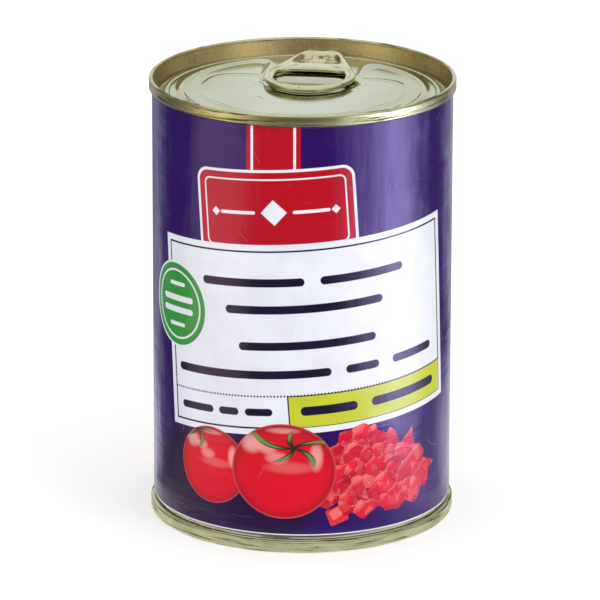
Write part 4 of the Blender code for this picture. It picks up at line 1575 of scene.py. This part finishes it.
# %% The studio set
SET_GAIN = 6.0
LOW_SET = (
    (-180, (0.54, 0.53, 0.58)), (-156, (0.27, 0.26, 0.33)), (-142, (0.58, 0.55, 0.68)), (-131, 0.35),
    (-121, 0.08), (-95, 0.08), (-86, (0.7, 0.58, 0.4)), (-76, (1.2, 0.98, 0.68)), (-52, (1.25, 1.02, 0.7)),
    (-44, (0.9, 0.74, 0.52)), (-34, 0.1), (20, 0.07), (29, 0.4), (37, 0.95), (48, (1.9, 1.9, 2.1)),
    (60, (3.5, 3.5, 4.0)), (69, (4.9, 4.9, 5.6)), (75, (4.4, 4.4, 5.0)), (84, (2.8, 2.8, 3.2)),
    (92, (1.4, 1.4, 1.6)), (101, 0.5), (110, 0.12), (127, 0.12), (138, (0.4, 0.37, 0.5)),
    (151, (0.62, 0.59, 0.72)), (180, (0.54, 0.53, 0.58)),
)
HIGH_SET = (
    (-180, (0.95, 0.96, 0.94)), (-158, (0.9, 0.9, 0.86)), (-142, (0.28, 0.22, 0.11)),
    (-112, (0.23, 0.18, 0.08)), (-88, (0.34, 0.26, 0.12)), (-60, (0.9, 0.72, 0.36)),
    (-36, (0.42, 0.32, 0.15)), (0, (0.26, 0.19, 0.09)),
    (22, (0.52, 0.42, 0.24)), (40, (0.98, 0.82, 0.5)), (65, (0.46, 0.4, 0.25)), (106, (0.34, 0.29, 0.18)),
    (127, (0.32, 0.25, 0.13)), (145, (0.36, 0.3, 0.18)), (160, (0.9, 0.9, 0.86)), (180, (0.95, 0.96, 0.94)),
)
OVERHEAD = (0.9 / SET_GAIN, 0.9 / SET_GAIN, 0.86 / SET_GAIN, 1.0)


def set_ramp(tree, turn, stops):
    """A colour ramp from stops of (degrees from the camera's side, brightness or colour)."""
    node = node_of(tree, "ShaderNodeValToRGB", Fac=turn)
    elements = node.color_ramp.elements
    while len(elements) < len(stops):
        elements.new(0.5)
    for element, (degrees, _) in zip(elements, stops):
        element.position = 0.5 + degrees / 360
    for element, (_, light) in zip(elements, stops):
        colour = light if isinstance(light, tuple) else (light, light, light)
        element.color = (*[value / SET_GAIN for value in colour], 1.0)
    return node.outputs["Color"]


def build_set():
    """Shader group: the colour of the studio set in a direction, with +Z up and the camera at -Y."""
    inputs = [("Direction", "Vector", None)]
    tree, start, end = new_group("studio_set", "ShaderNodeTree", inputs, [("Colour", "Color")])
    unit = node_of(tree, "ShaderNodeVectorMath", {"operation": "NORMALIZE"})
    feed(tree, unit.inputs[0], start.outputs["Direction"])
    way = node_of(tree, "ShaderNodeSeparateXYZ", Vector=unit.outputs[0])
    bearing = bearing_of(tree, way.outputs["X"], way.outputs["Y"])
    turn = calc(tree, "MULTIPLY_ADD", bearing, 1 / math.tau, 0.5)
    low, high = set_ramp(tree, turn, LOW_SET), set_ramp(tree, turn, HIGH_SET)
    level = mixed(tree, span(tree, way.outputs["Z"], -0.16, -0.02), low, high)
    colour = mixed(tree, span(tree, way.outputs["Z"], 0.5, 0.8), level, OVERHEAD)
    feed(tree, end.inputs["Colour"], colour)
    return tree


STUDIO_SET = build_set()
print("studio set has", len(LOW_SET), "low stops and", len(HIGH_SET), "high stops")

# %% [markdown]
# The floor is plain white for soft rays. A mirrored ray sees a painted floor instead: painted shade round the
# tin, a dull ring at its foot and a dark zone near it, and farther out the set's own light in that direction.
# Behind the tin the floor is lit, because the white sweep stands there.


# %% What mirrored rays see of the floor
# Painted shade: the ring at the tin's foot and the dark zone near it.
FOOT_SHADE_TONE = (0.13, 0.128, 0.116, 1.0)
NEAR_SHADE_TONE = (0.035, 0.035, 0.034, 1.0)
LIT_TONE = (0.165, 0.16, 0.18, 1.0)


def floor_tone(tree):
    """The painted floor's colour at each place. Distances from the tin's axis are in metres."""
    place = tree.nodes.new("ShaderNodeNewGeometry").outputs["Position"]
    x, y, _ = node_of(tree, "ShaderNodeSeparateXYZ", Vector=place).outputs
    distance = calc(tree, "SQRT", sum_of_squares(tree, x, y))
    outwards = node_of(tree, "ShaderNodeCombineXYZ", X=x, Y=y, Z=-0.1)
    far = use_group(tree, STUDIO_SET, Direction=outwards.outputs[0]).outputs["Colour"]
    tone = mixed(tree, span(tree, distance, 0.08, 0.17), mixed(tree, 0.25, NEAR_SHADE_TONE, far), far)
    backwards = calc(tree, "ADD", calc(tree, "MULTIPLY_ADD", x, 0.12, y), 0.025)
    behind = span(tree, calc(tree, "DIVIDE", backwards, distance), 0.42, 0.85)
    lit = calc(tree, "MULTIPLY", behind, span(tree, distance, 0.19, 0.07))
    tone = mixed(tree, lit, tone, LIT_TONE)
    return mixed(tree, span(tree, distance, 0.048, 0.056), FOOT_SHADE_TONE, tone)


def split_rays(tree, soft, colour, output):
    """Show one shader to soft rays and a glow of the given colour to mirrored ones."""
    kind = "ShaderNodeEmission" if output == "Material Output" else "ShaderNodeBackground"
    glow = node_of(tree, kind, Strength=SET_GAIN)
    feed(tree, glow.inputs["Color"], colour)
    choice = tree.nodes.new("ShaderNodeMixShader")
    feed(tree, choice.inputs[0], tree.nodes.new("ShaderNodeLightPath").outputs["Is Glossy Ray"])
    feed(tree, choice.inputs[1], soft.outputs[0])
    feed(tree, choice.inputs[2], glow.outputs[0])
    feed(tree, tree.nodes[output].inputs["Surface"], choice.outputs[0])


print("the ring round the foot mirrors as", FOOT_SHADE_TONE[:3])


# %% [markdown]
# Floor and world share one idea, so one helper splits the rays for both. The floor glows a little by
# itself, so that it comes out white round the tin and keeps only a light shade under it.

# %% The floor and the world
FAR = 6000
corners = [(-FAR, -FAR, 0), (FAR, -FAR, 0), (FAR, FAR, 0), (-FAR, FAR, 0)]
floor = new_piece("floor", corners, [(0, 1, 2, 3)])
floor_finish, floor_tree, floor_shader = new_finish("pale_floor")
for name, value in (
    ("Base Color", (0.9, 0.9, 0.9, 1.0)),
    ("Roughness", 0.9),
    ("Specular IOR Level", 0.0),
    ("Emission Color", (1.0, 1.0, 1.0, 1.0)),
    ("Emission Strength", 0.3),
):
    floor_shader.inputs[name].default_value = value
split_rays(floor_tree, floor_shader, floor_tone(floor_tree), "Material Output")
floor.data.materials.append(floor_finish)

world = bpy.data.worlds.new("white_sweep")
world.use_nodes = True
bpy.context.scene.world = world
sky = world.node_tree
direction = sky.nodes.new("ShaderNodeTexCoord").outputs["Generated"]
plain = sky.nodes["Background"]
plain.inputs["Color"].default_value = (1.0, 1.0, 1.0, 1.0)
plain.inputs["Strength"].default_value = 0.86
set_colour = use_group(sky, STUDIO_SET, Direction=direction).outputs["Colour"]
split_rays(sky, plain, set_colour, "World Output")
print("floor nodes:", len(floor_tree.nodes), "and world nodes:", len(sky.nodes))

# %% [markdown]
# One large soft lamp from the front right gives the tin a lighter side and a soft shade on the floor. It
# is hidden from mirrored rays, since the painted set already holds its reflection.


# %% One soft lamp and the view
def softbox(name, place, target, width, height, power):
    """A rectangular light that points at a target. Places are in millimetres."""
    data = bpy.data.lights.new(name, "AREA")
    data.shape = "RECTANGLE"
    data.size, data.size_y = width * MM, height * MM
    data.energy = power
    lamp = bpy.data.objects.new(name, data)
    bpy.context.scene.collection.objects.link(lamp)
    turn = (Vector(target) - Vector(place)).to_track_quat("-Z", "Y")
    lamp.matrix_world = Matrix.Translation(Vector(place) * MM) @ turn.to_matrix().to_4x4()
    lamp.visible_glossy = False
    return lamp


softbox("right_front_softbox", (700, -700, 700), (0, 0, 60), 600, 600, 3.0)
view = bpy.context.scene.view_settings
view.view_transform = "Standard"
view.look = "None"

# %% [markdown]
# ## The pieces on one body
#
# The tin has no moving parts, so every piece rides on the one body, and each stands for the solid that it was
# modelled from.

for piece, node, slot in (
    (lid, "top_end", "lacquered_tinplate"),
    (rivet, None, "lacquered_tinplate"),
    (tab, "pull_tab", "lacquered_tinplate"),
    (label, "label", "label_paper"),
    (body, "can_body", "tinplate"),
    (base, "bottom_end", "tinplate"),
):
    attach(piece, "root")
    if node:
        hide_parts(node)
